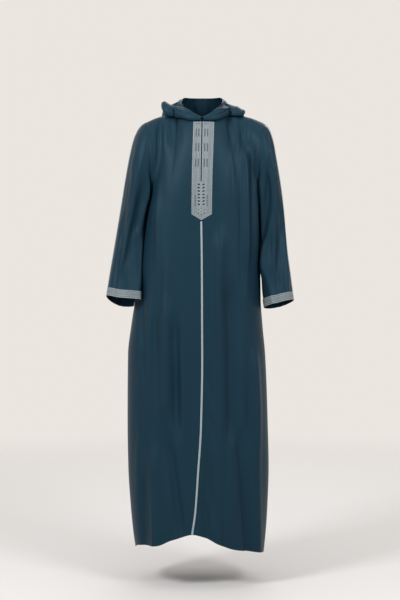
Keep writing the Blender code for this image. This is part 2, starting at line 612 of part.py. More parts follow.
def half_columns(shoulder_columns):
    neck = np.linspace(0, NECK_SHARE, NECK_COLUMNS + 1)
    return np.concatenate([neck, np.linspace(NECK_SHARE, 1, shoulder_columns + 1)[1:]])


def draw_back(outer, q, v, face):
    """Draws a panel back from its side seams and its shoulder seams by the seam's clearance."""
    at_side = (np.abs(q) > 1 - 1e-6) & (v <= 1)
    at_shoulder = (v > 2 - 1e-6) & (np.abs(q) >= NECK_SHARE)
    return outer + points(0, face * SEAM * (at_side | at_shoulder), 0)


def make_fronts(finish):
    for side, name in ((-1, "front_right"), (1, "front_left")):
        q, v = np.meshgrid(np.sort(side * half_columns(FRONT_SHOULDER_COLUMNS)), panel_rows())
        outer = draw_back(body_outer(q, v, -1), q, v, -1)
        slit = smooth_step((outer[..., 2] - SLIT_END_Z) / SLIT_CLOSE)
        from_centre = SEAM + (SLIT_CLOTH_HALF - SEAM) * slit
        outer[..., 0] += side * from_centre * (q == 0)
        normal = body_normal(np.where(q == 0, side * 2e-3, q), v, -1)
        wall(name, outer, normal, CLOTH, finish)


def make_back(finish):
    half = half_columns(BACK_SHOULDER_COLUMNS)
    q, v = np.meshgrid(np.concatenate([-half[:0:-1], half]), panel_rows())
    outer = draw_back(body_outer(q, v, 1), q, v, 1)
    normal = body_normal(q, v, 1)
    wall("back", outer[:, ::-1], normal[:, ::-1], CLOTH, finish)


def sleeve_angles(side):
    return side * (np.arange(2 * YOKE_ROWS) * 180 / YOKE_ROWS - 180)


def make_sleeves(finish):
    for side, name in ((-1, "sleeve_right"), (1, "sleeve_left")):
        spread = np.linspace(0, 1, SLEEVE_ROWS + 1) ** 1.15
        angle, along = np.meshgrid(sleeve_angles(side), spread)
        outer = sleeve_outer(side, angle, along)
        normal = sleeve_normal(side, angle, along)
        wall(name, outer[::-1], normal[::-1], CLOTH, finish, closed=True)


def make_hood(finish):
    counted, where = zip(*HOOD_SECTIONS)
    half = np.interp(np.arange(counted[-1] + 1), counted, where)
    sections = np.concatenate([-half[:0:-1], half])
    around, part = np.meshgrid(sections, np.linspace(0, 1, HOOD_STEPS + 1))
    wall("hood", hood_outer(around, part), hood_normal(around, part), CLOTH, finish)


# ---------------------------------------------------------------- the trims
def place_on_front(x, z):
    """(q, v) of the front at x and z, by Newton's method from a flat panel's."""
    half_width, skirt, yoke = GIRTHS[4].right, UNDERARM_Z - HEMS[3].front, -UNDERARM_Z
    q, v = x / half_width, 1 + (z - UNDERARM_Z) / np.where(z < UNDERARM_Z, skirt, yoke)
    step = 1e-4
    for _ in range(12):
        v = np.clip(v, 2 * step, 2.0)
        at = body_outer(q, v, -1)
        by_q = (body_outer(q + step, v, -1) - at) / step
        by_v = (at - body_outer(q, v - step, -1)) / step
        miss_x, miss_z = x - at[..., 0], z - at[..., 2]
        size = by_q[..., 0] * by_v[..., 2] - by_v[..., 0] * by_q[..., 2]
        q = q + (miss_x * by_v[..., 2] - miss_z * by_v[..., 0]) / size
        v = v + (miss_z * by_q[..., 0] - miss_x * by_q[..., 2]) / size
    return q, np.clip(v, 0.0, 2.0)


def seam_x(z):
    """Where the centre-front seam lies at height z."""
    line = body_outer(0, np.linspace(0, 2, 400), -1)
    return np.interp(z, line[:, 2], line[:, 0])


def placket_grid():
    """Offsets across the placket, its heights from the foot to the top, and x and z of its grid."""
    inner = np.array([SLOT_OUTER, SLOT_INNER, SLIT_HALF_WIDTH])
    slot_tops = [SLOT_FIRST_Z - k * SLOT_PITCH for k in range(SLOTS)]
    slots = [z for top in slot_tops for z in (top, top - SLOT_HEIGHT)]
    plain = list(np.linspace(PLACKET_TOP_Z, SLIT_END_Z, PLACKET_ROWS))
    down = np.array((plain + slots + [PLACKET_SQUARE_Z + PLACKET_FOOT_BAND, PLACKET_SQUARE_Z])[::-1])
    part = (down - PLACKET_TOP_Z) / (PLACKET_SQUARE_Z - PLACKET_TOP_Z)
    sides = []
    for side in (-1, 1):
        edge = PLACKET_TOP[side] + (PLACKET_FOOT[side] - PLACKET_TOP[side]) * part
        rows = [edge, (edge + SLOT_OUTER) / 2] + [np.full_like(edge, x) for x in inner]
        sides.append(side * np.array(rows).T)
    across = np.concatenate([sides[0], 0 * part[:, None], sides[1][:, ::-1]], axis=1)
    z = down[:, None] + 0 * across
    at_slots = ((down < SLIT_END_Z) & (down > PLACKET_SQUARE_Z + PLACKET_FOOT_BAND))[:, None]
    slant = SLOT_SLANT * (np.abs(across) - SLOT_INNER) * (np.abs(across) <= SLOT_OUTER)
    z = z + np.where(at_slots, slant, 0)
    tip = 1 - np.abs(across[0]) / max(PLACKET_FOOT.values())
    tip_z = PLACKET_SQUARE_Z - PLACKET_TIP_DROP + (PLACKET_TIP_Z - PLACKET_SQUARE_Z) * tip
    across = np.concatenate([across[:1], across])
    z = np.concatenate([tip_z[None, :], z])
    return np.concatenate([[PLACKET_TIP_Z], down]), seam_x(z) + across, z, slot_tops


def make_placket(finish):
    """The embroidered band round the slit, cut through by the slit and by slanted slots in its foot."""
    down, x, z, slot_tops = placket_grid()
    middle = (down[1:] + down[:-1]) / 2
    holes = np.zeros((x.shape[0] - 1, x.shape[1] - 1), bool)
    centre = x.shape[1] // 2
    holes[middle > SLIT_END_Z, centre - 1 : centre + 1] = True
    for top in slot_tops:
        row = np.argmin(np.abs(middle - (top - SLOT_HEIGHT / 2)))
        holes[row, [centre - 3, centre + 2]] = True
    q, v = place_on_front(x, z)
    normal = body_normal(q, v, -1)
    outer = body_outer(q, v, -1) + normal * (GAP + BAND + LAID_CLEAR)
    wall("placket", outer, normal, BAND, finish, holes=holes)


def make_centre_braid(finish):
    """The braid over the centre-front seam, from the placket's point to the hem."""
    foot = body_outer(0, 0, -1)[2]
    z = np.linspace(foot + LAID_CLEAR, PLACKET_TIP_Z - BRAID_START, CENTRE_BRAID_ROWS)[:, None]
    x = seam_x(z) + BRAID_WIDTH / 2 * BRAID_COLUMNS
    q, v = place_on_front(x, z + 0 * x)
    normal = body_normal(q, v, -1)
    crown = BRAID * BRAID_CROWN[:, None] + 0 * q[..., None]
    outer = body_outer(q, v, -1) + normal * (GAP + LAID_CLEAR + crown)
    wall("centre_braid", outer, normal, crown, finish)


def sleeve_along(side, angle, distance):
    """How far along the sleeve a point lies `distance` above the cuff."""
    along = np.linspace(0.7, 1.0, 200)
    line = sleeve_outer(side, 0 * along + angle, along)
    run = np.concatenate([[0], np.cumsum(np.linalg.norm(np.diff(line, axis=0), axis=1))])
    return float(np.interp(run[-1] - distance, run, along))


def make_cuff_bands(finish):
    for side, name in ((-1, "cuff_band_right"), (1, "cuff_band_left")):
        angles = sleeve_angles(side)
        starts = np.array([sleeve_along(side, a, CUFF_BAND) for a in angles])
        part = np.array([0.0, 0.5, 1.0])[:, None]
        along = starts[None, :] + (CUFF_END - starts[None, :]) * part
        angle = angles[None, :] + 0 * along
        normal = sleeve_normal(side, angle, along)
        outer = sleeve_outer(side, angle, along) + normal * (GAP + BAND + LAID_CLEAR)
        wall(name, outer[::-1], normal[::-1], BAND, finish, closed=True)


def make_sleeve_braids(finish):
    for side, name in ((-1, "sleeve_braid_right"), (1, "sleeve_braid_left")):
        middle = BRAID_ANGLE[side]
        top = sleeve_along(side, middle, CUFF_BAND + BRAID_CUFF_GAP)
        along = np.linspace(SLEEVE_BRAID_START, top, SLEEVE_BRAID_ROWS)[:, None]
        depth = table_values(SLEEVES[side], along)[5]
        angle = middle + np.degrees(BRAID_WIDTH / 2 / depth) * BRAID_COLUMNS * side
        along = along + 0 * angle
        normal = sleeve_normal(side, angle, along)
        crown = BRAID * BRAID_CROWN[:, None] + 0 * angle[..., None]
        outer = sleeve_outer(side, angle, along) + normal * (GAP + LAID_CLEAR + crown)
        wall(name, outer[::-1], normal[::-1], crown[::-1], finish)


# ---------------------------------------------------------------- the part
def main():
    for old in list(bpy.data.objects):
        bpy.data.objects.remove(old, do_unlink=True)
    cloth = material("cloth", CLOTH_COLOUR, 0.6)
    trim = material("trim", TRIM_COLOUR, 0.7)
    make_fronts(cloth)
    make_back(cloth)
    make_sleeves(cloth)
    make_hood(cloth)
    make_placket(trim)
    make_centre_braid(trim)
    make_cuff_bands(trim)
    make_sleeve_braids(trim)


main()
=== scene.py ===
"""The looks of the djellaba robe: finer walls on the forms of its solids, with their creases,
sewing, embroidery and plaited braids. Metres, +Z up, the front faces -Y.
"""

from collections import namedtuple

import bpy
import numpy as np
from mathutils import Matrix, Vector


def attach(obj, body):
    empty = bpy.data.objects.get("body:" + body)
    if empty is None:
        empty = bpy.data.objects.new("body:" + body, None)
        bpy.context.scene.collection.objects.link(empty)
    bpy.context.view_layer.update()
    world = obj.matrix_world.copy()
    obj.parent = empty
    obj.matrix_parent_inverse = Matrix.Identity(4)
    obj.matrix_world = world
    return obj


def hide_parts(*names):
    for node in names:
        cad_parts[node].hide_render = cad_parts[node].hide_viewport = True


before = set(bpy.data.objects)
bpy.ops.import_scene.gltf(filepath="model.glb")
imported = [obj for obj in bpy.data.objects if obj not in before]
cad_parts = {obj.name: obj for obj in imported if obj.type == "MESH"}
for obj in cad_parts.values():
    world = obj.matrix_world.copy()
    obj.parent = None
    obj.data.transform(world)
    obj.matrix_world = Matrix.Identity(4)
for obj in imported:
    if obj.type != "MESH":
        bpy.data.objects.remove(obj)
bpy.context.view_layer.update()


def table(columns, *rows):
    """Rows by the names of their columns. Lengths are in mm; a column marked * is no length."""
    Row = namedtuple("Row", columns.replace("*", ""))
    units = [1 if column.endswith("*") else 1000 for column in columns.split()]
    return [Row(*(value / unit for value, unit in zip(row, units))) for row in rows]


# ---- sizes of the robe
# A panel's face is -1 for the fronts and 1 for the back; a side is -1 for the wearer's right.
SIDES = {-1: "right", 1: "left"}
GAP = 0.0003  # clearance between neighbouring pieces
SEAM = 0.0004  # distance from a seam's line to each panel's edge

UNDERARM_Z = -0.270
SQUARENESS = 2.6  # exponent of the body's rounded sections
SIDE_SEAM_Y = 0.004
SKIRT_LENGTH = 1.10  # from the hem to the underarm
PANEL_HALF = 0.33  # across a panel, from its middle to its side seam
YOKE_HIGH = 0.24  # from the underarm to the shoulder

ARM_SHARE = 0.60  # from here to the side seam, a panel turns to follow the armhole
ARM_RISE = 0.14  # how strongly the armhole rises as it leaves the underarm
ARM_BOW = {-1: 0.320, 1: 0.340}  # how strongly it bows out to the front and to the back
ARM_BOW_IN = {-1: 0.036, 1: 0.028}  # and in to the neck, on each side
YOKE_LEAVE = 0.29  # how strongly the skirt's slope carries on above the underarm
SLOPE_STEP = 0.002
# How strongly a panel runs on as it arrives at its top: at the neck, the shoulder's part more, and up.
ARRIVE_NECK = 0.10
ARRIVE_SHOULDER = 0.13
ARRIVE_UP = 0.16
SHOULDER_FROM = 0.05  # from here a panel's top turns from the neck's slope to the shoulder's
SHOULDER_OVER = 0.50  # and over this share of its width
NECK_SHARE = 0.40  # part of a panel's top edge that is neckline; the rest is shoulder
NECK_HALF_WIDTH = 0.078
NECK_Y = {-1: -0.080, 1: 0.066}
NECK_Z = {-1: -0.020, 1: 0.004}
NECK_SIDE_Z = 0.008
SHOULDER_X = {-1: 0.190, 1: 0.203}
SHOULDER_DROP = 0.030
SHOULDER_CURVE = 2.2
NECK_CURVE = 1.5  # how the neckline falls from the sides to the centre
TOP_INSIDE = 1.985  # normals at the top edge are taken here, just inside it

SLEEVE_LENGTH = 0.60
SLEEVE_HALF = 0.075  # half of a sleeve's girth, flat
SLEEVE_SEAM = 0.0006  # from the armhole's line to the sleeve's edge
SLEEVE_CLEAR = 0.0022  # how far the sleeve's inner side stands off the body under the arm
CLEAR_FROM, CLEAR_TO, CLEAR_FADE = 0.05, 0.7, 0.4  # where along it the sleeve does so
REST_SPAN = 0.90  # the part of the sleeve's inner half that eases on to the body
SLEEVE_SETTLE = 0.30  # how far along the sleeve its form passes from the armhole's loop to the rings

CUFF_BAND = 0.026  # height of the cuff bands
CUFF_END = 0.9995  # how far along the sleeve the cuff bands reach
LAID_CLEAR = 0.0003  # more clearance under a trim, whose points lie between the panel's own
BRAID_WIDTH = 0.0068
BRAID_START = 0.004  # from the placket's point to the centre braid
BRAID_CUFF_GAP = 0.001  # between a sleeve braid and its cuff band
SLEEVE_BRAID_START = 0.012  # how far along the sleeve a sleeve braid starts
BRAID_ANGLE = {-1: 4.0, 1: -22.0}  # where the sleeve braids lie, from the outer line

PLACKET_TOP_Z = -0.0262
PLACKET_SQUARE_Z = -0.324
PLACKET_TIP_Z = -0.343
# Width of the placket's two sides, from the slit's line to its edges, at its top and its foot.
PLACKET_TOP = {-1: 0.0277, 1: 0.0386}
PLACKET_FOOT = {-1: 0.0308, 1: 0.0336}
SLIT_END_Z = -0.221
SLIT_HALF_WIDTH = 0.0022  # in the placket
SLIT_CLOTH_HALF = 0.0019  # between the two fronts
SLIT_CLOSE = 0.016  # height over which the fronts come together at the slit's foot
SLOTS = 7  # pairs of slanted slots below the slit
SLOT_FIRST_Z = -0.2285
SLOT_PITCH = 0.0106
SLOT_HEIGHT = 0.0050

# The body's girth at each height: half widths to the wearer's right and left, depths of the front
# and the back, and where the centre-front seam lies.
GIRTHS = table(
    "z right left front back seam",
    (-1430, 215, 201, 170, 165, -38.5),
    (-1360, 226, 209, 166, 163, -33.5),
    (-1270, 235, 215, 161, 159, -21.5),
    (-1150, 242.5, 219, 155, 154, -13),
    (-1000, 245, 215, 149, 149, -3.5),
    (-780, 243.5, 206, 143, 143, 0.5),
    (-680, 232, 197.5, 141, 139, 0),
    (-600, 219.5, 192.5, 139, 136, -0.2),
    (-480, 204, 191.5, 136, 132, -0.8),
    (-380, 189.5, 191.5, 133, 130, -2),
    (-310, 179, 189.5, 131, 128, -2.8),
    (-270, 170, 186.5, 130, 127, -3),
)

# Height of the hem across each panel, from the wearer's right side seam (-1) to the left one (1).
HEMS = table(
    "across* front back",
    (-1, -1412, -1412),
    (-0.6, -1387, -1402),
    (-0.35, -1380, -1398),
    (-0.22, -1363, -1397),
    (-0.12, -1353, -1396),
    (0, -1343, -1396),
    (0.12, -1354, -1397),
    (0.22, -1373, -1398),
    (0.35, -1392, -1400),
    (0.6, -1409, -1408),
    (0.85, -1421, -1420),
    (1, -1428, -1428),
)

# Sleeve sections, from the armhole (0) to the cuff (1): the outer and the inner edge, the middle's
# y, the half depth, the angle by which the section's front is raised, how far the front and the back
# both drop below the edges, and how far the inner side takes the form of the body that it lies on.
RING = "along* outer_x outer_z inner_x inner_z middle_y depth lean* drop rest*"
SLEEVE_RIGHT = table(
    RING,
    (0, 190, -22, 173.5, -270, 4, 83, 0, 0, 0),
    (0.06, 206.5, -40, 175.5, -274, 4, 84, 0, 0, 0.5),
    (0.13, 221.5, -72, 178.5, -282, 5, 84, 0, 0, 0.9),
    (0.23, 236, -130, 182, -300, 8, 83, 0, 0, 1),
    (0.34, 249, -200, 186.5, -332, 10, 80, 1, 0, 1),
    (0.47, 262, -280, 192.5, -380, 10, 77, 3, 1, 1),
    (0.6, 275, -360, 201, -430, 3, 73, 6, 2, 1),
    (0.73, 288, -440, 207, -488, -10, 70, 9, 4, 1),
    (0.87, 300.5, -517, 211, -548, -24, 67, 12, 7, 1),
    (1, 311, -588, 216, -606, -38, 65, 14, 9, 1),
)
SLEEVE_LEFT = table(
    RING,
    (0, 203, -22, 186, -270, 4, 83, 0, 0, 0),
    (0.06, 219.5, -38, 187.5, -274, 4, 84, 0, 0, 0.5),
    (0.13, 231, -70, 190, -282, 5, 84, 0, 0, 0.9),
    (0.23, 241.5, -130, 190.5, -300, 8, 83, 0, 0, 1),
    (0.34, 253, -200, 190.8, -332, 10, 81, 1, 0, 1),
    (0.47, 262.2, -280, 191.2, -380, 10, 79, 3, 0, 1),
    (0.6, 270.5, -360, 191.5, -432, 3, 76, 5, 1, 1),
    (0.73, 278.5, -442, 192.5, -492, -10, 73, 7, 1, 1),
    (0.87, 288.5, -521, 195.5, -560, -24, 69, 9, 2, 0.3),
    (1, 298, -600, 202, -623, -38, 66, 9, 3, 0),
)
SLEEVES = {-1: SLEEVE_RIGHT, 1: SLEEVE_LEFT}

# Long folds of the body: where each starts and ends, its height (a trough is negative) and width.
FOLD = "x_top z_top x_low z_low height width"
FRONT_FOLDS = table(
    FOLD,
    (140, -85, 143, -520, 7.5, 13), (56, -340, 48, -1500, 10, 19), (88, -500, 92, -1080, -11, 15),
    (118, -980, 158, -1500, -13, 15), (166, -720, 182, -1500, 9, 14), (20, -1040, 14, -1500, -6, 12),
    (-114, -560, -120, -1020, 9, 16), (-88, -620, -78, -1080, -11, 14), (-112, -1000, -58, -1400, -12, 15),
    (-150, -1040, -150, -1500, 11, 20), (-188, -1120, -184, -1500, -8, 12),
    (-200, -480, -186, -880, -8, 12),
)
BACK_FOLDS = table(
    FOLD,
    (0, -520, 4, -1500, 10, 20), (48, -420, 60, -1500, -12, 18), (-52, -460, -66, -1500, -11, 18),
    (104, -300, 118, -1500, 11, 20), (-106, -340, -128, -1500, 10, 20), (148, -560, 166, -1500, -11, 14),
    (-158, -600, -182, -1500, -12, 15),
)
FOLDS = {-1: FRONT_FOLDS, 1: BACK_FOLDS}
FOLD_FADE = 0.10  # length over which a fold grows and dies

# Creases of the body, smaller than the folds: a line that bends sideways in its middle, the height
# (a trough is negative) and the width on either side.
CREASE = "x_top z_top x_low z_low bend height left right"
FRONT_CREASES = table(
    CREASE,
    (139, -30, 143, -700, 0, 8.2, 7, 10), (124, -60, 127, -620, 0, -3.6, 7, 6),
    (92, -20, 100, -420, 2, 3.4, 8, 10), (47, -380, 46, -900, 0, 4.2, 9, 12),
    (-131, 30, -141, -105, 0, -4.9, 8, 9), (-117, 30, -122, -150, 0, 4.2, 9, 9),
    (-102, 30, -96, -120, 0, -4.2, 7, 9), (-77, 20, -70, -130, 0, -2.3, 10, 10),
    (-155, 10, -158, -260, 3, 5.6, 8, 9), (-138, -140, -146, -560, 0, 5.2, 8, 10),
    (-150, -210, -161, -420, 0, 4.1, 10, 12), (-113, -392, -115, -915, 0, 5.1, 17, 16),
    (-131, -421, -140, -692, 0, -3.5, 10, 10), (-150, -469, -147, -947, -3, -6.3, 12, 13),
    (-169, -560, -172, -1011, 0, 4.9, 10, 13), (-192, -640, -202, -960, 0, 3.5, 8, 10),
    (-86, -756, -89, -1040, 0, -5.8, 13, 16), (-64, -560, -57, -1090, 0, 3.2, 18, 18),
    (-128, -1060, -89, -1420, 3, 5.1, 10, 16), (-169, -1150, -166, -1600, 0, -5.1, 10, 9),
    (-198, -915, -207, -1298, -3, 3.6, 9, 12), (-80, -1190, -77, -1600, 0, 4.3, 10, 12),
    (-54, -1123, -36, -1300, 0, 2.6, 10, 10), (54, -300, 56, -660, 0, 4.6, 12, 26),
    (70, -450, 77, -720, 0, -3.9, 13, 14), (120, 30, 134, -150, 2, -4.6, 7, 8),
    (149, 20, 140, -175, -2, -4.3, 7, 8), (159, -5, 161, -520, 2, -5.4, 8, 8),
    (174, -90, 178, -540, 0, 6.6, 7, 6), (106, 30, 115, -180, 0, 3.5, 9, 9),
    (83, 20, 99, -140, 0, -3, 9, 9), (121, -640, 124, -1020, 0, 6.3, 21, 23),
    (166, -700, 182, -1160, 3, 6.9, 14, 12), (149, -820, 158, -1110, 0, -5.1, 12, 12),
    (131, -1020, 140, -1180, 0, 3.6, 10, 10), (-6, -1170, 18, -1330, -3, -6.6, 8, 12),
    (10, -1180, 36, -1390, 0, 4.9, 9, 12), (8, -800, 38, -960, 0, -3.2, 8, 13),
    (12, -920, 43, -1060, 0, -3.2, 9, 13), (83, -1000, 89, -1600, 0, 3.9, 16, 18),
    (70, -1100, 77, -1600, 0, -4.2, 12, 12), (102, -1190, 117, -1600, 0, 3.9, 10, 12),
)
BACK_CREASES = table(
    CREASE,
    (-128, 30, -150, -420, 4, -4.1, 9, 12), (-96, -150, -92, -520, 0, 3.5, 13, 16),
    (-150, -180, -160, -700, 3, 4.1, 12, 13), (-26, -380, -24, -900, 0, -3.7, 14, 13),
    (-82, -560, -94, -1180, 3, 4.4, 16, 17), (-136, -640, -142, -1600, 0, -5.2, 12, 14),
    (-190, -720, -204, -1280, 0, 4.1, 12, 10), (-36, -960, -30, -1600, 0, 4.7, 16, 16),
    (-98, -1060, -104, -1600, 0, -4.4, 12, 13), (26, -470, 30, -1020, 0, 3.7, 16, 13),
    (74, -240, 84, -760, 0, 3.5, 14, 17), (132, 30, 146, -460, -3, -4.1, 10, 9),
    (136, -520, 140, -1040, 0, 4.3, 13, 16), (86, -820, 90, -1600, 0, -4.7, 13, 14),
    (176, -700, 186, -1600, 0, 4.7, 12, 13), (30, -1080, 34, -1600, 0, -4.1, 12, 12),
)
CREASES = {-1: FRONT_CREASES, 1: BACK_CREASES}
CREASE_FADE = 0.50  # part of a crease over which it grows, and over which it dies
HEM_REACH = -1.45  # a crease that is drawn to below this runs out over the hem

# Folds and creases of the sleeves: the angle round the sleeve where each starts and ends, 0 on the
# outer line and -90 in front, how far along it runs, its height and the degrees that it spans.
SLEEVE_FOLD = "angle_top* angle_low* start* end* height span*"
RIGHT_FOLDS = table(
    SLEEVE_FOLD,
    (-100, -112, 0.1, 0.98, -7, 14), (-72, -80, 0.16, 0.9, 5, 14), (-50, -52, 0.22, 0.7, -4.5, 12),
    (84, 92, 0.2, 0.95, 6, 18), (118, 128, 0.16, 0.8, -6, 15),
    (-140, -128, 0.08, 0.56, -5.7, 8), (-124, -112, 0.08, 0.66, 5.8, 7), (-100, -78, 0.16, 0.9, 5, 8),
    (-76, -56, 0.2, 0.96, -4.2, 9), (-110, -100, 0.14, 0.62, -5.5, 7), (-124, -138, 0.52, 0.98, 4.2, 9),
    (-88, -94, 0.05, 0.55, 4.5, 11), (-34, -30, 0.1, 0.6, -3.2, 10), (-62, -66, 0.52, 1.3, -3.7, 10),
    (-104, -98, 0.66, 1.3, 4, 9), (30, 44, 0.12, 0.9, 4.2, 15), (60, 66, 0.3, 1.3, -4.2, 12),
    (150, 146, 0.1, 0.7, 3.7, 11),
)
LEFT_FOLDS = table(
    SLEEVE_FOLD,
    (-52, -112, 0.06, 0.66, 6, 15), (-84, -132, 0.08, 0.7, -7, 14), (-62, -96, 0.55, 0.98, -5, 15),
    (80, 96, 0.18, 0.95, 6, 18), (120, 126, 0.22, 0.85, -6, 15),
    (-30, -60, 0.04, 0.42, -4.2, 10), (-56, -110, 0.04, 0.98, 6.8, 8), (-38, -92, 0.06, 0.96, -5.2, 8),
    (-22, -66, 0.3, 1.2, 4.6, 8), (-88, -118, 0.1, 0.66, -5, 8), (-108, -128, 0.14, 0.62, 5, 8),
    (-104, -98, 0.52, 1.3, -5.2, 9), (-120, -112, 0.55, 1.2, 4.2, 8), (-36, -48, 0.36, 0.98, 4.2, 12),
    (-74, -72, 0.7, 1.3, 4, 9), (34, 48, 0.1, 0.86, 4.2, 15), (62, 70, 0.34, 1.3, -4.2, 12),
    (152, 140, 0.12, 0.66, 3.7, 11),
)
SLEEVE_FOLDS = {-1: RIGHT_FOLDS, 1: LEFT_FOLDS}

# The hood, from the wearer's right end of the neckline (-1) round the nape (0) to the left end (1).
# Each section leaves the neck seam, runs over the panel to its turn (a place on the panel, lifted
# off it), rises by the roll, sags, and comes back to the rim by the neck.
HOOD = table(
    "around* across* down* lift roll bulge sag rim_out rim_up",
    (-1, 0.008, 1.985, 3.4, 6, 0, 0, 0, 10),
    (-0.9, 0.1, 1.955, 5, 10, 1, 0, -1, 20),
    (-0.78, 0.225, 1.925, 5, 16, 2, 1, -3, 31),
    (-0.66, 0.345, 1.86, 6, 24, 2, 3, -8, 34),
    (-0.58, 0.475, 1.832, 6, 32, 2, 6, -11, 38),
    (-0.54, 0.535, 1.87, 6, 36, 2, 8, -12, 41),
    (-0.5, 0.56, 2, 6, 40, 1, 13, -14, 44),
    (-0.38, 0.54, 1.74, 9, 34, 1, 9, -10, 52),
    (-0.24, 0.48, 1.32, 10, 38, 3, 3, 2, 62),
    (-0.12, 0.27, 0.97, 8, 34, 3, 2, 10, 64),
    (0, 0, 0.88, 6, 16, 0, 0, 12, 65),
    (0.12, 0.27, 0.97, 8, 34, 3, 2, 10, 64),
    (0.24, 0.48, 1.32, 10, 44, 3, 4, 2, 62),
    (0.38, 0.56, 1.74, 9, 28, 2, -3, -10, 56),
    (0.5, 0.645, 2, 6, 14, 3, -8, -12, 46),
    (0.54, 0.62, 1.885, 5.5, 15, 2, -6, -11, 44),
    (0.58, 0.54, 1.842, 5.5, 16, 2, -4, -10, 42),
    (0.66, 0.375, 1.88, 5.5, 18, 2, -2, -6, 38),
    (0.78, 0.235, 1.925, 5, 15, 2, 0, -2, 33),
    (0.9, 0.1, 1.955, 5, 10, 1, 0, -1, 21),
    (1, 0.008, 1.985, 3.4, 6, 0, 0, 0, 10),
)

# Creases of the hood, drawn on its sections and their length: around, part, then where it ends.
HOOD_CREASES = table(
    "around* part* around_end* part_end* height width*",
    (0.84, 0.96, 0.56, 0.7, -3.6, 0.022), (0.76, 0.985, 0.5, 0.83, 2.6, 0.024),
    (0.7, 0.99, 0.42, 0.92, -3.6, 0.022), (0.88, 0.82, 0.7, 0.66, 2.4, 0.026),
    (-0.84, 0.94, -0.62, 0.7, -2.6, 0.026), (-0.74, 0.98, -0.52, 0.8, 2.4, 0.03),
    (-0.4, 0.96, -0.3, 0.68, -3.6, 0.026), (0.34, 0.95, 0.26, 0.68, -3.4, 0.026),
    (-0.2, 0.9, -0.13, 0.64, 3.4, 0.024), (0.18, 0.9, 0.11, 0.64, 3.2, 0.024),
    (-0.1, 0.97, -0.05, 0.74, -2.8, 0.02), (0.09, 0.97, 0.06, 0.76, -2.8, 0.02),
)

UP = np.array([0.0, 0.0, 1.0])
HOOD_SEAM = 0.0021  # from the neckline to the hood's first edge
HOOD_SPREAD = 1.35  # how closely a section's points crowd towards its seam
# Where the panel below it faces up, a section is lifted straight up; below that, outward by this much.
ON_TOP_FROM, ON_TOP_OVER, LIFT_OUT = 1.25, 0.70, 1.35
HOOD_STAND = 0.24  # how far the hood stands off the panel beyond its seam, as a share of the roll
STAND_RUN = 0.10  # a section this long stands off fully
STAND_RISE = 0.018  # the length over which it rises off the seam
TURN_START, TURN_END = 0.45, 0.62  # the stretch of each section that turns back on itself
TURN_SWELL = 0.35  # the turn's own bulge, as a share of the roll
TURN_BESIDE = 0.85  # the place on a section that gives the turn's direction
RIM_BLEND = 0.55  # the last part of the upper layer, which rises to the rim
HOOD_STRETCH = 0.9  # one step of part against one step of around, for a crease's direction
HOOD_HALF = 0.35  # along the hood, from the nape to an end
HOOD_DEEP = 0.5  # along one section
HOOD_UNEVEN = 1.3
RIM_SWELL = 0.0006  # the turned edge of the hood stands out by this
RIM_HEM = 0.955

# ---- sizes of the finer walls
FINE = 0.0012  # thickness of a cloth wall
HEM_BAND = 0.022  # height of the turned-up hem
HEM_TURN = 0.0008  # how much thicker the hem is
HEM_EASE = 0.0015
SEAM_DIP = 0.0011  # how far a panel's edge rounds into its seam
SEAM_REACH = 0.0035
SIDE_FADE = 0.022  # folds die over this length beside a side seam
FOLD_ENDS = 0.25  # part of a sleeve's fold over which it grows, and over which it dies
STREAK = 0.009  # slope of the faint unevenness that hangs down the cloth
STREAK_WAVES = 26
STREAK_SEEDS = {-1: 11, 1: 12}
SLEEVE_SEED = 20
HOOD_SEED = 31
STITCH = 0.0026  # length of one stitch
STITCH_PITCH = 0.0034
THREAD = 0.00028  # radius of the sewing thread
# Rings of one stitch: how far along it, its radius and how high it stands, as shares.
STITCH_RINGS = [(-0.5, 0.35, -0.9), (-0.38, 0.85, 0), (0, 1, 0.75), (0.38, 0.85, 0), (0.5, 0.35, -0.9)]
STITCH_SIDES = 5
FRONT_GRID = (84, 230)
BACK_GRID = (72, 200)
SKIRT_ROWS = 0.76  # part of a panel's rows that lie below the underarm
SLEEVE_GRID = (104, 120)
HOOD_GRID = (190, 110)
HOOD_END = 0.994
SHARP = 60  # degrees; edges sharper than this are shaded flat

PLACKET_STEP = 0.00080
PLACKET_GROUND = 0.0008
SLIT_DOWN = 1000 * (PLACKET_TOP_Z - SLIT_END_Z)
DASH_GROUPS = (36.0, 84.0, 134.0)  # mm below the placket's top
DASH_COLUMNS = (9.8, 18.2)
DASH_PITCH = 5.2
DASH_ANGLE = 1.15
DASH_FOOT = 240.0
TOP_MARKS = 3
FOOT_MARKS = 5
LEAF_MIDDLE, LEAF_LENGTH, LEAF_WIDTH, LEAF_ANGLE, LEAF_RAISE = 7.5, 10.2, 6.2, -0.42, 1.8
ROSETTE_DOWN = 289.0
ROSETTE_LEAVES = 6
ROSETTE_REACH = 10.0
CUFF_GRID = (400, 28)
CUFF_REPEAT = 8.6
BRAID_PITCH = 0.0105
BRAID_STRAND = 0.00125  # radius
BRAID_STEPS = 15

# ---- colours, linear
CLOTH_BASE = (0.0049, 0.0186, 0.0307, 1.0)
CLOTH_LIGHT = (0.018, 0.050, 0.078, 1.0)
CLOTH_THREAD = (0.0045, 0.0168, 0.0277, 1.0)
CLOTH_GLINT = (0.50, 0.78, 1.0, 1.0)  # tint of the crepe's shine
TRIM_BASE = (0.205, 0.243, 0.260, 1.0)
# colour of the dark thread marks, and of the painted shade in the embroidery's grooves and hollows
TRIM_DARK = (0.022, 0.040, 0.056, 1.0)
TRIM_THREAD = (0.180, 0.211, 0.230, 1.0)
BRAID_BASE = (0.28, 0.335, 0.37, 1.0)
FLOOR = (0.52, 0.515, 0.515, 1.0)
BACKDROP = (0.830, 0.790, 0.745, 1.0)

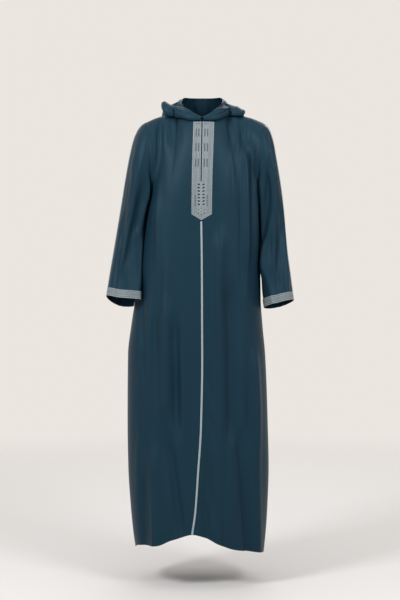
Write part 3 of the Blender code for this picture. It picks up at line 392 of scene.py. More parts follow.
# ---- the studio's sizes
FLOOR_Z = -1.520
FLOOR_HALF = 7.0
FLOOR_FADE = (1.7, 4.2)  # distances from its middle between which the floor fades out
AMBIENT = 1.0
CAMERA_AT = (-0.0066, -4.5, -0.50)
CAMERA_TO = (-0.0066, 0.0, -0.60)
FOCAL, FRAME_HIGH = 54.88, 24.0  # mm

# Soft lights: where each stands, what it points at, its size and its power in watts.
Lamp = namedtuple("Lamp", "name at aim wide high power")
LAMPS = [
    Lamp("key", (-2.2, -2.3, 1.5), (0, 0, -0.4), 0.9, 0.9, 104),
    Lamp("fill", (2.0, -2.5, 1.3), (0, 0, -0.4), 1.2, 1.2, 76),
    Lamp("top", (0, -0.6, 2.8), (0, 0, -0.5), 2.4, 2.0, 18),
    Lamp("rear", (0.4, 3.0, 1.2), (0, 0, -0.5), 2.4, 2.4, 50),
]


# ---- curves
def table_values(rows, where):
    """Every column but the first, at `where` in the first, as one smooth curve through the rows."""
    values = np.array(rows, float)
    x, y = values[:, 0], values[:, 1:]
    step = np.diff(x)
    slope = np.diff(y, axis=0) / step[:, None]
    tangent = np.zeros_like(y)
    tangent[0], tangent[-1] = slope[0], slope[-1]
    before, after = slope[:-1], slope[1:]
    same_way = before * after > 0
    total = np.where(same_way, before + after, 1.0)
    tangent[1:-1] = np.where(same_way, 2 * before * after / total, 0.0)
    where = np.asarray(where, float)
    flat = np.clip(where.ravel(), x[0], x[-1])
    row = np.clip(np.searchsorted(x, flat, side="right") - 1, 0, len(x) - 2)
    run = step[row][:, None]
    part = (flat - x[row]) / step[row]
    value = hermite(y[row], run * tangent[row], y[row + 1], run * tangent[row + 1], part)
    return [value[:, k].reshape(where.shape) for k in range(y.shape[1])]


def hermite(start, leave, end, arrive, t):
    t = np.asarray(t)[..., None]
    return (
        (2 * t**3 - 3 * t**2 + 1) * start
        + (t**3 - 2 * t**2 + t) * leave
        + (3 * t**2 - 2 * t**3) * end
        + (t**3 - t**2) * arrive
    )


def smooth_step(t):
    t = np.clip(t, 0.0, 1.0)
    return t * t * (3 - 2 * t)


def bell(distance, width):
    """1 at no distance, and dying away over `width`."""
    return np.exp(-((distance / width) ** 2))


def window(after, before, fade):
    """How far something has grown, `after` its start and `before` its end."""
    return smooth_step(after / fade) * smooth_step(before / fade)


def same_shape(*values):
    return np.broadcast_arrays(*(np.asarray(value, float) for value in values))


def points(x, y, z):
    return np.stack(np.broadcast_arrays(x, y, z), axis=-1).astype(float)


def unit(vectors):
    return vectors / np.maximum(np.linalg.norm(vectors, axis=-1, keepdims=True), 1e-12)


def run_of(line, axis=0):
    """The length run along a line of points, or along one axis of a grid of them."""
    steps = np.linalg.norm(np.diff(line, axis=axis), axis=-1)
    return np.cumsum(np.insert(steps, 0, 0, axis=axis), axis=axis)


def normals_of(form, u, v, u_step, v_step):
    """Unit normals of form(u, v), along its u direction times its v direction."""
    across = form(u + u_step, v) - form(u - u_step, v)
    along = form(u, v + v_step) - form(u, v - v_step)
    return unit(np.cross(across, along))


# ---- the body
def girth_point(q, z, face):
    """A point of the body's section at height z; q runs from one side seam (-1) to the other (1)."""
    right, left, front, back, seam = table_values(GIRTHS, z)
    side_x = np.where(q < 0, -right, left)
    middle_x = seam if face < 0 else (left - right) / 2
    depth = front if face < 0 else back
    angle = np.abs(q) * np.pi / 2
    sine, cosine = np.sin(angle), np.maximum(np.cos(angle), 0.0)
    reach = (sine**SQUARENESS + cosine**SQUARENESS) ** (-1 / SQUARENESS)
    x = middle_x + (side_x - middle_x) * reach * sine
    y = SIDE_SEAM_Y + face * depth * reach * cosine
    return points(x, y, z)


def shoulder_point(side, reach):
    """The shoulder line, from the neck (0) to the armhole (1)."""
    x = NECK_HALF_WIDTH + (np.where(side < 0, SHOULDER_X[-1], SHOULDER_X[1]) - NECK_HALF_WIDTH) * reach
    z = NECK_SIDE_Z - SHOULDER_DROP * reach**SHOULDER_CURVE
    return points(side * x, SIDE_SEAM_Y, z)


def neck_point(side, turn, face):
    """The neckline, from the centre of the panel (0) to the shoulder line (1)."""
    angle = turn * np.pi / 2
    x = side * NECK_HALF_WIDTH * np.sin(angle)
    y = SIDE_SEAM_Y + (NECK_Y[face] - SIDE_SEAM_Y) * np.cos(angle)
    z = NECK_SIDE_Z + (NECK_Z[face] - NECK_SIDE_Z) * np.cos(angle) ** NECK_CURVE
    return points(x, y, z)


def top_edge(q, face):
    side = np.where(q < 0, -1.0, 1.0)
    share = np.abs(q)
    neck = neck_point(side, np.clip(share / NECK_SHARE, 0, 1), face)
    shoulder = shoulder_point(side, np.clip((share - NECK_SHARE) / (1 - NECK_SHARE), 0, 1))
    return np.where((share <= NECK_SHARE)[..., None], neck, shoulder)


def body_form(q, v, face):
    """The panel's plain form: v is 0 at the hem, 1 at the underarm and 2 at the shoulder and neck."""
    q, v = same_shape(q, v)
    low = np.clip(v, 0, 1)
    hem = table_values(HEMS, q)[0 if face < 0 else 1]
    skirt = girth_point(q, hem * (1 - low) + UNDERARM_Z * low, face)
    side = np.where(q < 0, -1.0, 1.0)
    share = np.abs(q)
    near_side = np.clip((share - ARM_SHARE) / (1 - ARM_SHARE), 0, 1)
    at_arm = near_side**2 * (2 - near_side)
    at_shoulder = smooth_step((share - SHOULDER_FROM) / SHOULDER_OVER)
    bow = ARM_BOW[face]
    bow_in = np.where(q < 0, ARM_BOW_IN[-1], ARM_BOW_IN[1])
    below = girth_point(q, UNDERARM_Z - SLOPE_STEP, face)
    onward = (girth_point(q, UNDERARM_Z, face) - below) * (YOKE_LEAVE / SLOPE_STEP)
    round_arm = points(-side * bow_in, face * bow, ARM_RISE)
    leave = onward * (1 - at_arm)[..., None] + round_arm * at_arm[..., None]
    run_on = ARRIVE_NECK + ARRIVE_SHOULDER * at_shoulder + (bow - ARRIVE_NECK - ARRIVE_SHOULDER) * at_arm
    arrive = points(side * bow_in * at_arm, -face * run_on, ARRIVE_UP * (1 - at_shoulder))
    yoke = hermite(skirt, leave, top_edge(q, face), arrive, np.clip(v - 1, 0, 1))
    return np.where((v <= 1)[..., None], skirt, yoke)


def fold_height(folds, x, z):
    height = np.zeros(np.broadcast(x, z).shape)
    for fold in folds:
        down = (fold.z_top - z) / (fold.z_top - fold.z_low)
        line = fold.x_top + (fold.x_low - fold.x_top) * np.clip(down, 0, 1)
        height += fold.height * bell(x - line, fold.width) * window(fold.z_top - z, z - fold.z_low, FOLD_FADE)
    return height


def crease_height(creases, x, z):
    height = np.zeros(np.broadcast(x, z).shape)
    for crease in creases:
        length = crease.z_top - crease.z_low
        down = np.clip((crease.z_top - z) / length, 0, 1)
        line = crease.x_top + (crease.x_low - crease.x_top) * down
        away = x - line - crease.bend * np.sin(np.pi * down)
        width = np.where(away < 0, crease.left, crease.right) * (0.8 + 0.4 * down)
        to_end = z - crease.z_low if crease.z_low > HEM_REACH else length
        height += crease.height * bell(away, width) * window(crease.z_top - z, to_end, CREASE_FADE * length)
    return height


def streaks(x, z, seed):
    """Faint waves across x that wander and come and go along z."""
    draw = np.random.default_rng(seed)
    height = np.zeros(np.broadcast(x, z).shape)
    for _ in range(STREAK_WAVES):
        wave, tilt = draw.uniform(18, 90), draw.uniform(-0.10, 0.10)
        start, slow, drift = draw.uniform(0, 6.28), draw.uniform(2.0, 8.0), draw.uniform(0, 6.28)
        line = wave * (x + tilt * z) + start + 0.9 * np.sin(slow * z + drift)
        height += np.sin(line) * (0.55 + 0.45 * np.sin(0.7 * slow * z + 2 * drift)) / wave
    return STREAK * height


def body_outer(q, v, face):
    """The panel's outer surface, with folds, creases and the dips at its seams."""
    q, v = same_shape(q, v)
    at = body_form(q, v, face)
    inside = np.minimum(v, TOP_INSIDE)
    normal = -face * normals_of(lambda a, b: body_form(a, b, face), q, inside, 1e-3, 1e-3)
    x, z = at[..., 0], at[..., 2]
    height = fold_height(FOLDS[face], x, z) + crease_height(CREASES[face], x, z)
    from_side = (1 - np.abs(q)) * PANEL_HALF
    height = (height + streaks(x, z, STREAK_SEEDS[face])) * smooth_step(from_side / SIDE_FADE)
    near_top = (2 - v) * YOKE_HIGH + 0.1 * (np.abs(q) < NECK_SHARE)
    height = height - SEAM_DIP * bell(np.minimum(from_side, near_top), SEAM_REACH)
    return at + normal * height[..., None]


def body_normal(q, v, face):
    inside = np.clip(v, 1e-3, TOP_INSIDE)
    return -face * normals_of(lambda a, b: body_outer(a, b, face), np.asarray(q, float), inside, 1e-3, 1e-3)


# ---- the sleeves
def armhole_point(side, angle):
    """The armhole's loop: angle 0 is the shoulder point, 180 the underarm, negative is in front."""
    angle = np.asarray(angle, float)
    turned = (angle + 180) % 360 - 180
    up = 1 + (1 - np.abs(turned) / 180)
    front = body_form(np.full_like(turned, side), up, -1)
    back = body_form(np.full_like(turned, side), up, 1)
    return np.where((turned < 0)[..., None], front, back)


def sleeve_ring(side, angle, along):
    outer_x, outer_z, inner_x, inner_z, middle_y, depth, lean, drop, _ = table_values(SLEEVES[side], along)
    outer = points(side * outer_x, middle_y, outer_z)
    inner = points(side * inner_x, middle_y, inner_z)
    lean, turn = np.radians(lean), np.radians(angle)
    back = points(0, depth * np.cos(lean), -depth * np.sin(lean))
    half = (outer - inner) / 2
    ring = (outer + inner) / 2 + half * np.cos(turn)[..., None] + back * np.sin(turn)[..., None]
    return ring - points(0, 0, drop * np.sin(turn) ** 2)


def body_side_x(side, y, z):
    """Where the body's side lies at y and z, up to the underarm."""
    right, left, front, back, seam = table_values(GIRTHS, z)
    middle = np.where(y < SIDE_SEAM_Y, seam, (left - right) / 2)
    away = np.abs(y - SIDE_SEAM_Y) / np.where(y < SIDE_SEAM_Y, front, back)
    reach = (1 - np.minimum(away, 1) ** SQUARENESS) ** (1 / SQUARENESS)
    return middle + (np.where(side < 0, -right, left) - middle) * reach


def sleeve_form(side, angle, along):
    """The sleeve's plain form: along is 0 at the armhole and 1 at the cuff."""
    angle, along = same_shape(angle, along)
    ring = sleeve_ring(side, angle, along)
    start = armhole_point(side, angle) + np.array([side * SLEEVE_SEAM, 0, 0])
    settle = smooth_step(along / SLEEVE_SETTLE)[..., None]
    inner = (1 - np.cos(np.radians(angle))) / 2
    under_arm = smooth_step(along / CLEAR_FROM) * smooth_step((CLEAR_TO - along) / CLEAR_FADE)
    ring = ring + (1 - settle) * (start - sleeve_ring(side, angle, 0 * along))
    ring = ring + points(side * SLEEVE_CLEAR * under_arm * inner, 0, 0)
    rest = table_values(SLEEVES[side], along)[-1]
    beside = body_side_x(side, ring[..., 1], ring[..., 2]) + side * SLEEVE_CLEAR
    inward = rest * smooth_step(-np.cos(np.radians(angle)) / REST_SPAN) * (beside - ring[..., 0])
    return ring + points(inward, 0, 0)


def sleeve_outer(side, angle, along):
    """The sleeve's outer surface, with folds, creases and the dip at its seam."""
    angle, along = same_shape(angle, along)
    height = np.zeros(angle.shape)
    for fold in SLEEVE_FOLDS[side]:
        run = (along - fold.start) / (fold.end - fold.start)
        line = fold.angle_top + (fold.angle_low - fold.angle_top) * np.clip(run, 0, 1)
        away = (angle - line + 180) % 360 - 180
        height += fold.height * bell(away, fold.span) * window(run, 1 - run, FOLD_ENDS)
    turn = np.radians(angle)
    down = SLEEVE_LENGTH * along + 0.02 * np.cos(turn)
    uneven = streaks(SLEEVE_HALF * np.sin(turn), down, SLEEVE_SEED + side)
    height = height + uneven * smooth_step(along / 0.05) - SEAM_DIP * bell(along * SLEEVE_LENGTH, SEAM_REACH)
    normal = normals_of(lambda a, b: sleeve_form(side, a, b), angle, along, 0.5, 1e-3)
    return sleeve_form(side, angle, along) - side * normal * height[..., None]


def sleeve_normal(side, angle, along):
    along = np.clip(along, 0.004, 1.0)
    return -side * normals_of(lambda a, b: sleeve_outer(side, a, b), angle, along, 0.5, 1e-3)


# ---- the hood
def hood_seam(around):
    side = np.where(around < 0, -1.0, 1.0)
    far = np.abs(around)
    front = neck_point(side, np.clip((1 - far) / 0.5, 0, 1), -1)
    back = neck_point(side, np.clip(far / 0.5, 0, 1), 1)
    return np.where((far > 0.5)[..., None], front, back)


def hood_outer(around, part):
    """The hood's outer surface: part runs from the neck seam (0), by way of the turn, to the rim (1)."""
    around, part = same_shape(around, part)
    across, down, lift, roll, bulge, sag, rim_out, rim_up = table_values(HOOD, around)
    side = np.where(around < 0, -1.0, 1.0)
    far = np.abs(around)
    neck_q = np.where(far > 0.5, (1 - far) / 0.5, far / 0.5) * NECK_SHARE

    seam = hood_seam(around)
    outward = unit(points(seam[..., 0], seam[..., 1] - SIDE_SEAM_Y, 0))

    def over_panel(reach, height):
        """A place between the neck seam (0) and the turn (1), lifted off the panel by `height`."""
        q = side * (neck_q + (across - neck_q) * reach)
        v = 2 + (down - 2) * reach
        on_top = smooth_step((v - ON_TOP_FROM) / ON_TOP_OVER)[..., None]
        lift_way = unit(UP * on_top + outward * (LIFT_OUT - on_top))
        surface = np.where((far > 0.5)[..., None], body_outer(q, v, -1), body_outer(q, v, 1))
        return surface + lift_way * height[..., None]

    reach = np.clip(part / TURN_START, 0, 1) ** HOOD_SPREAD
    ones = np.ones_like(part)
    turn_low = over_panel(ones, lift)
    run = np.linalg.norm(turn_low - seam, axis=-1)
    stand = HOOD_STAND * roll * smooth_step(run / STAND_RUN)
    stand = stand * smooth_step(reach * run / STAND_RISE) * (1 - reach) ** 2
    under = over_panel(reach, HOOD_SEAM + (lift - HOOD_SEAM) * smooth_step(reach) + stand)

    turn_normal = unit(over_panel(ones, lift + 0.01) - turn_low)
    away = unit(turn_low - over_panel(TURN_BESIDE * ones, lift))
    sweep = np.clip((part - TURN_START) / (TURN_END - TURN_START), 0, 1) * np.pi
    rise = roll * (1 - np.cos(sweep)) / 2
    swell = (bulge + TURN_SWELL * roll) * np.sin(sweep)
    turn = turn_low + turn_normal * rise[..., None] + away * swell[..., None]

    back_in = 1 - np.clip((part - TURN_END) / (1 - TURN_END), 0, 1)
    upper = over_panel(back_in, lift + roll - sag * np.sin(np.pi * back_in) ** 2)
    to_rim = smooth_step((RIM_BLEND - back_in) / RIM_BLEND)[..., None]
    rim = seam + outward * rim_out[..., None] + UP * rim_up[..., None]
    upper = upper * (1 - to_rim) + rim * to_rim

    outer = np.where((part < TURN_START)[..., None], under, turn)
    return np.where((part > TURN_END)[..., None], upper, outer)


def hood_normal(around, part):
    at = np.clip(around, -0.985, 0.985)
    return normals_of(hood_outer, at, np.clip(part, 0.01, 0.99), 5e-3, 0.01)


def hood_fine(around, part):
    """The hood's outer surface with its creases and its turned edge."""
    around, part = same_shape(around, part)
    height = np.zeros(around.shape)
    for crease in HOOD_CREASES:
        way = np.array([crease.around_end - crease.around, (crease.part_end - crease.part) * HOOD_STRETCH])
        length = np.linalg.norm(way)
        off_a, off_p = around - crease.around, (part - crease.part) * HOOD_STRETCH
        run = (off_a * way[0] + off_p * way[1]) / length**2
        away = (off_a * way[1] - off_p * way[0]) / length
        height += crease.height * bell(away, crease.width) * window(run + 0.15, 1.15 - run, 0.4)
    height += streaks(around * HOOD_HALF, part * HOOD_DEEP, HOOD_SEED) * HOOD_UNEVEN
    height *= smooth_step((part - TURN_END + 0.08) / 0.10) * smooth_step((1 - part) / 0.02)
    height *= smooth_step((1 - np.abs(around)) / 0.06)
    height -= SEAM_DIP * bell(around * HOOD_HALF, SEAM_REACH) * smooth_step((part - TURN_START) / 0.05)
    height += RIM_SWELL * smooth_step((part - RIM_HEM) / 0.01)
    return hood_outer(around, part) + hood_normal(around, part) * height[..., None]


# ---- places on the cloth
def place_on_front(x, z):
    """(q, v) of the front at x and z, by Newton's method from a flat panel's."""
    half_width, skirt, yoke = GIRTHS[4].right, UNDERARM_Z - HEMS[3].front, -UNDERARM_Z
    q, v = x / half_width, 1 + (z - UNDERARM_Z) / np.where(z < UNDERARM_Z, skirt, yoke)
    step = 1e-4
    for _ in range(12):
        v = np.clip(v, 2 * step, 2.0)
        at = body_outer(q, v, -1)
        by_q = (body_outer(q + step, v, -1) - at) / step
        by_v = (at - body_outer(q, v - step, -1)) / step
        miss_x, miss_z = x - at[..., 0], z - at[..., 2]
        size = by_q[..., 0] * by_v[..., 2] - by_v[..., 0] * by_q[..., 2]
        q = q + (miss_x * by_v[..., 2] - miss_z * by_v[..., 0]) / size
        v = v + (miss_z * by_q[..., 0] - miss_x * by_q[..., 2]) / size
    return q, np.clip(v, 0.0, 2.0)


def seam_x(z):
    """Where the centre-front seam lies at height z."""
    line = body_outer(0, np.linspace(0, 2, 400), -1)
    return np.interp(z, line[:, 2], line[:, 0])


def sleeve_along(side, angle, distance):
    """How far along the sleeve a point lies `distance` above the cuff."""
    along = np.linspace(0.7, 1.0, 200)
    run = run_of(sleeve_outer(side, angle, along))
    return float(np.interp(run[-1] - distance, run, along))


def panel_run(q, v, face):
    """Points of a panel and its normals there."""
    q, v = same_shape(q, v)
    return body_outer(q, v, face), body_normal(q, v, face)


def sleeve_run(side, angle, along):
    angle, along = same_shape(angle, along)
    return sleeve_outer(side, angle, along), sleeve_normal(side, angle, along)


def hood_run(around, part):
    around, part = same_shape(around, part)
    return hood_fine(around, part), hood_normal(around, part)


def front_at(x, z):
    return panel_run(*place_on_front(x, z), -1)


# ---- meshes
def put_object(name, data):
    made = bpy.data.objects.new(name, data)
    bpy.context.scene.collection.objects.link(made)
    return made


def put(name, vertices, faces, uv=None, shade=None):
    """A mesh object from quads, with its weave coordinates and a shade between 0 and 1 at each point."""
    mesh = bpy.data.meshes.new(name)
    mesh.vertices.add(len(vertices))
    mesh.vertices.foreach_set("co", np.asarray(vertices, np.float32).ravel())
    faces = np.asarray(faces, np.int32)
    mesh.loops.add(faces.size)
    mesh.loops.foreach_set("vertex_index", faces.ravel())
    mesh.polygons.add(len(faces))
    mesh.polygons.foreach_set("loop_start", np.arange(0, faces.size, 4, dtype=np.int32))
    mesh.update(calc_edges=True)
    if uv is not None:
        layer = mesh.uv_layers.new(name="weave")
        layer.data.foreach_set("uv", np.asarray(uv, np.float32).ravel())
    if shade is not None:
        attribute = mesh.attributes.new("shade", "FLOAT", "POINT")
        attribute.data.foreach_set("value", np.asarray(shade, np.float32).ravel())
    mesh.shade_smooth()
    return put_object(name, mesh)


def stand_for(piece, slot, *nodes):
    """The piece rides on the robe and takes the place of its solids."""
    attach(piece, "root")
    if nodes:
        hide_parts(*nodes)
    return piece


def put_parts(name, parts, finish, slot, *nodes):
    """One piece from several (vertices, faces)."""
    vertices = [part[0] for part in parts]
    firsts = np.cumsum([0] + [len(some) for some in vertices])
    faces = [part[1] + first for part, first in zip(parts, firsts)]
    made = put(name, np.concatenate(vertices), np.concatenate(faces))
    made.data.materials.append(finish)
    return stand_for(made, slot, *nodes)


def quads(rows, columns, closed=True):
    """The corners of a grid's cells. A closed grid joins its last column to its first."""
    row, column = np.mgrid[0 : rows - 1, 0 : columns if closed else columns - 1]
    beside, low, high = (column + 1) % columns, row * columns, (row + 1) * columns
    return np.stack([low + column, low + beside, high + beside, high + column], axis=-1)


def wall(name, outer, normal, thickness, finish, closed=False, holes=None, shade=None):
    """A thin closed wall behind the grid `outer`."""
    rows, columns = outer.shape[:2]
    inner = outer - normal * thickness
    corners = quads(rows, columns, closed)
    kept = np.ones(corners.shape[:2], bool) if holes is None else ~holes
    corners = corners[kept]
    # Metres round and along the grid at each corner, for the weave to follow the cloth.
    wide = np.concatenate([outer, outer[:, :1]], axis=1) if closed else outer
    size = np.stack([run_of(wide, 1), run_of(wide, 0)], axis=-1)
    where = np.stack([size[:-1, :-1], size[:-1, 1:], size[1:, 1:], size[1:, :-1]], axis=-2)[kept]
    behind = rows * columns
    starts, ends = corners.reshape(-1), np.roll(corners, -1, axis=1).reshape(-1)
    uv_start, uv_end = where.reshape(-1, 2), np.roll(where, -1, axis=1).reshape(-1, 2)
    total = 2 * behind
    rim = ~np.isin(starts.astype(np.int64) * total + ends, ends.astype(np.int64) * total + starts)
    rim_faces = np.stack([ends[rim], starts[rim], behind + starts[rim], behind + ends[rim]], axis=-1)
    rim_uv = np.stack([uv_end[rim], uv_start[rim], uv_start[rim], uv_end[rim]], axis=-2)
    faces = np.concatenate([corners, behind + corners[:, ::-1], rim_faces])
    uv = np.concatenate([where, where[:, ::-1], rim_uv])
    vertices = np.concatenate([outer.reshape(-1, 3), inner.reshape(-1, 3)])
    used, place = np.unique(faces, return_inverse=True)
    shades = None if shade is None else np.concatenate([shade.ravel(), shade.ravel()])[used]
    made = put(name, vertices[used], place.reshape(faces.shape), uv, shades)
    made.data.set_sharp_from_angle(angle=np.radians(SHARP))
    made.data.materials.append(finish)
    return made


def along_line(line, step):
    """The row of a line of points that each place lies at, `step` apart along it."""
    run = run_of(line)
    count = max(int(run[-1] / step), 1)
    return np.interp((np.arange(count) + 0.5) * run[-1] / count, run, np.arange(len(run)))


def blend_rows(values, row):
    low = np.clip(row.astype(int), 0, len(values) - 2)
    part = (row - low)[:, None]
    return values[low] * (1 - part) + values[low + 1] * part


def round_way(side, up, count):
    """Unit steps from a centre to `count` places round it."""
    turn = np.arange(count) * 2 * np.pi / count
    return side[:, None] * np.cos(turn)[:, None] + up[:, None] * np.sin(turn)[:, None]


def sew(name, runs, finish, slot, length=STITCH, pitch=STITCH_PITCH):
    """Stitches along runs of (line, normals), each a small arched capsule of thread."""
    parts = []
    for line, normal in runs:
        row = along_line(line, pitch)
        middle, up = blend_rows(line, row), unit(blend_rows(normal, row))
        ahead = blend_rows(line, np.minimum(row + 0.02, len(line) - 1))
        back = blend_rows(line, np.maximum(row - 0.02, 0))
        way = unit(ahead - back)
        around = round_way(unit(np.cross(up, way)), up, STITCH_SIDES)
        rings = []
        for along, girth, rise in STITCH_RINGS:
            centre = middle + way * along * length + up * rise * THREAD
            rings.append(centre[:, None] + around * girth * THREAD)
        grid = np.stack(rings, axis=1)
        quad = quads(len(rings), STITCH_SIDES).reshape(-1, 4)[:, ::-1]
        first = np.arange(len(grid))[:, None, None] * len(rings) * STITCH_SIDES
        parts.append((grid.reshape(-1, 3), (quad + first).reshape(-1, 4)))
    return put_parts(name, parts, finish, slot)


def tube(line, normal, radius, sides=6):
    """Vertices and quads of a round tube along a line."""
    way = unit(np.gradient(line, axis=0))
    side = unit(np.cross(normal, way))
    vertices = (line[:, None] + round_way(side, np.cross(way, side), sides) * radius).reshape(-1, 3)
    return vertices, quads(len(line), sides).reshape(-1, 4)[:, ::-1]


# ---- materials
class Graph:
    """The nodes of one material."""

    def __init__(self, name):
        self.made = bpy.data.materials.new(name)
        self.made.use_nodes = True
        self.tree = self.made.node_tree
        self.shader = self.tree.nodes["Principled BSDF"]

    def feed(self, node, inputs):
        """Sets the node's inputs to values, or joins them to other nodes' outputs."""
        for key, value in inputs.items():
            if hasattr(value, "links"):
                self.tree.links.new(value, node.inputs[key])
            else:
                node.inputs[key].default_value = value

    def add(self, kind, inputs, **settings):
        node = self.tree.nodes.new("ShaderNode" + kind)
        for name, value in settings.items():
            setattr(node, name, value)
        self.feed(node, inputs)
        return node

    def maths(self, operation, *values, **settings):
        return self.add("Math", dict(enumerate(values)), operation=operation, **settings).outputs[0]

    def weave(self, across, along, slant):
        """Warp and weft threads: rounded ribs both ways, each over every other one, with a slant."""
        coordinates = self.add("UVMap", {}, uv_map="weave").outputs[0]
        split = self.add("SeparateXYZ", {0: coordinates})
        u = self.maths("MULTIPLY", split.outputs[0], 2 * np.pi / across)
        v = self.maths("MULTIPLY", split.outputs[1], 2 * np.pi / along)
        ribs = self.maths("SINE", self.maths("ADD", u, self.maths("MULTIPLY", v, slant)))
        weft = self.maths("MULTIPLY", self.maths("SINE", v), 0.6)
        return self.maths("ADD", ribs, weft), coordinates

    def finish(self, colour, height, strength, distance):
        """The material, with its colour and a bump of this height."""
        bump = self.add("Bump", {"Strength": strength, "Distance": distance, "Height": height})
        self.feed(self.shader, {"Base Color": colour, "Normal": bump.outputs[0]})
        return self.made


def cloth_material(name, colour, thread):
    """Crepe: one colour with a faint mottle, a fine weave and a grainy surface."""
    graph = Graph(name)
    graph.feed(graph.shader, {"Roughness": 0.48, "Specular IOR Level": 0.13, "Specular Tint": CLOTH_GLINT})
    height, coordinates = graph.weave(thread, thread, 1.0)
    mottle = graph.add("TexNoise", {"Scale": 9.0, "Detail": 3.0})
    faint = graph.maths("MULTIPLY", mottle.outputs[0], 0.10)
    tone = graph.add("MixRGB", {0: faint, 1: colour, 2: CLOTH_LIGHT})
    grain = graph.add("TexNoise", {"Scale": 1500.0, "Detail": 2.0, "Vector": coordinates})
    total = graph.maths("ADD", height, graph.maths("MULTIPLY", grain.outputs[0], 2.0))
    return graph.finish(tone.outputs[0], total, 0.25, 0.00006)


def thread_material(name, colour, across, slant, strength):
    """Embroidery or braid: fine parallel threads, darkened where the mesh's shade says, with painted shade in
    the dips between the threads.
    """
    graph = Graph(name)
    graph.feed(graph.shader, {"Roughness": 0.55, "Sheen Weight": 0.08, "Specular IOR Level": 0.30})
    height, _ = graph.weave(across, across * 1.7, slant)
    shade = graph.add("Attribute", {}, attribute_name="shade")
    ground = graph.add("MixRGB", {0: shade.outputs["Fac"], 1: colour, 2: TRIM_DARK})
    # Painted shade: the colour darkens where the weave's threads dip between one another.
    thread_shade = graph.maths("MULTIPLY_ADD", height, 0.10, 0.86, use_clamp=True)
    tone = graph.add("MixRGB", {0: 1.0, 1: ground.outputs[0], 2: thread_shade}, blend_type="MULTIPLY")
    return graph.finish(tone.outputs[0], height, strength, 0.00015)


CLOTH = cloth_material("crepe", CLOTH_BASE, 0.00055)
SEWING = cloth_material("sewing_thread", CLOTH_THREAD, 0.00020)
EMBROIDERY = thread_material("embroidery", TRIM_BASE, 0.00080, 0.35, 0.5)
PLAIT = thread_material("plaited_thread", BRAID_BASE, 0.00050, 1.0, 0.4)
TRIM_SEWING = thread_material("trim_thread", TRIM_THREAD, 0.00030, 1.0, 0.3)


def put_panel(name, outer, normal, thickness, closed=False):
    piece = wall("robe_" + name, outer, normal, thickness, CLOTH, closed)
    stand_for(piece, "robe_cloth", name)


def hem_thickness(v):
    """A panel's thickness, greater where the hem is turned up inside it."""
    return (FINE + HEM_TURN * smooth_step((HEM_BAND - v * SKIRT_LENGTH) / HEM_EASE))[..., None]


def draw_back(outer, q, v, face):
    at_side = (np.abs(q) > 1 - 1e-6) & (v <= 1)
    at_shoulder = (v > 2 - 1e-6) & (np.abs(q) >= NECK_SHARE)
    return outer + points(0, face * SEAM * (at_side | at_shoulder), 0)


def panel_grid(columns, rows):
    """Even columns over the neckline's share and over the shoulder's, and rows over skirt and yoke."""
    near, low = int(columns * NECK_SHARE), int(rows * SKIRT_ROWS)
    half = [np.linspace(0, NECK_SHARE, near + 1), np.linspace(NECK_SHARE, 1, columns - near + 1)[1:]]
    down = [np.linspace(0, 1, low + 1), np.linspace(1, 2, rows - low + 1)[1:]]
    return np.concatenate(half), np.concatenate(down)


def make_fronts():
    half, down = panel_grid(*FRONT_GRID)
    for side, word in SIDES.items():
        q, v = np.meshgrid(np.sort(side * half), down)
        outer = draw_back(body_outer(q, v, -1), q, v, -1)
        slit = smooth_step((outer[..., 2] - SLIT_END_Z) / SLIT_CLOSE)
        outer[..., 0] += side * (SEAM + (SLIT_CLOTH_HALF - SEAM) * slit) * (q == 0)
        normal = body_normal(np.where(q == 0, side * 2e-3, q), v, -1)
        put_panel("front_" + word, outer, normal, hem_thickness(v))


def make_back():
    half, down = panel_grid(*BACK_GRID)
    q, v = np.meshgrid(np.concatenate([half[:0:-1], -half]), down)
    put_panel("back", draw_back(body_outer(q, v, 1), q, v, 1), body_normal(q, v, 1), hem_thickness(v))


def make_sleeves():
    columns, rows = SLEEVE_GRID
    for side, word in SIDES.items():
        turns = side * (np.arange(columns) * 360 / columns - 180)
        angle, along = np.meshgrid(turns, np.linspace(0, 1, rows + 1)[::-1] ** 1.1)
        put_panel("sleeve_" + word, *sleeve_run(side, angle, along), FINE, closed=True)


def make_hood():
    columns, rows = HOOD_GRID
    around, part = np.meshgrid(np.linspace(-HOOD_END, HOOD_END, columns + 1), np.linspace(0, 1, rows + 1))
    put_panel("hood", *hood_run(around, part), FINE)


# ---- embroidery, in mm
def ridge(distance, width):
    """A rounded cord across its width, 1 on its middle and 0 at its edges."""
    return np.sqrt(np.clip(1 - (2 * distance / width) ** 2, 0, 1))


def rope(distance, along, width, pitch):
    """A cord of twisted threads."""
    twist = 0.80 + 0.20 * np.sin(2 * np.pi * (along / pitch + distance / width))
    return ridge(distance, width) * twist


def chain(across, along, middle, reach, pitch, width):
    """Two cords that cross from side to side between middle - reach and middle + reach."""
    cords = []
    for turns in (along / pitch, (along + pitch / 2) / pitch):
        wave = middle + reach * (4 * np.abs(turns - np.floor(turns + 0.5)) - 1)
        cords.append(ridge(across - wave, width))
    return np.maximum(*cords)


def inside_leaf(x, y, length, width, angle):
    """1 on a leaf's middle, 0 on its outline; below 0 outside it."""
    c, s = np.cos(angle), np.sin(angle)
    along, across = x * c + y * s, y * c - x * s
    return 1 - (2 * along / length) ** 2 - np.abs(2 * across / width) ** 1.5


def sink(height, shade, depth, *leaf):
    """A leaf-shaped mark of dark thread, sunk between the light ones."""
    mark = smooth_step((inside_leaf(*leaf) + 0.25) / 0.40)
    return height * (1 - mark), shade * (1 - mark) + depth * mark


def within(mask, height, shade, rise, hollow_shade):
    """The pattern with cords of this rise inside the mask, and this much painted shade added there, which the
    callers make deepest between the cords.
    """
    return np.where(mask, np.maximum(height, rise), height), shade + mask * hollow_shade


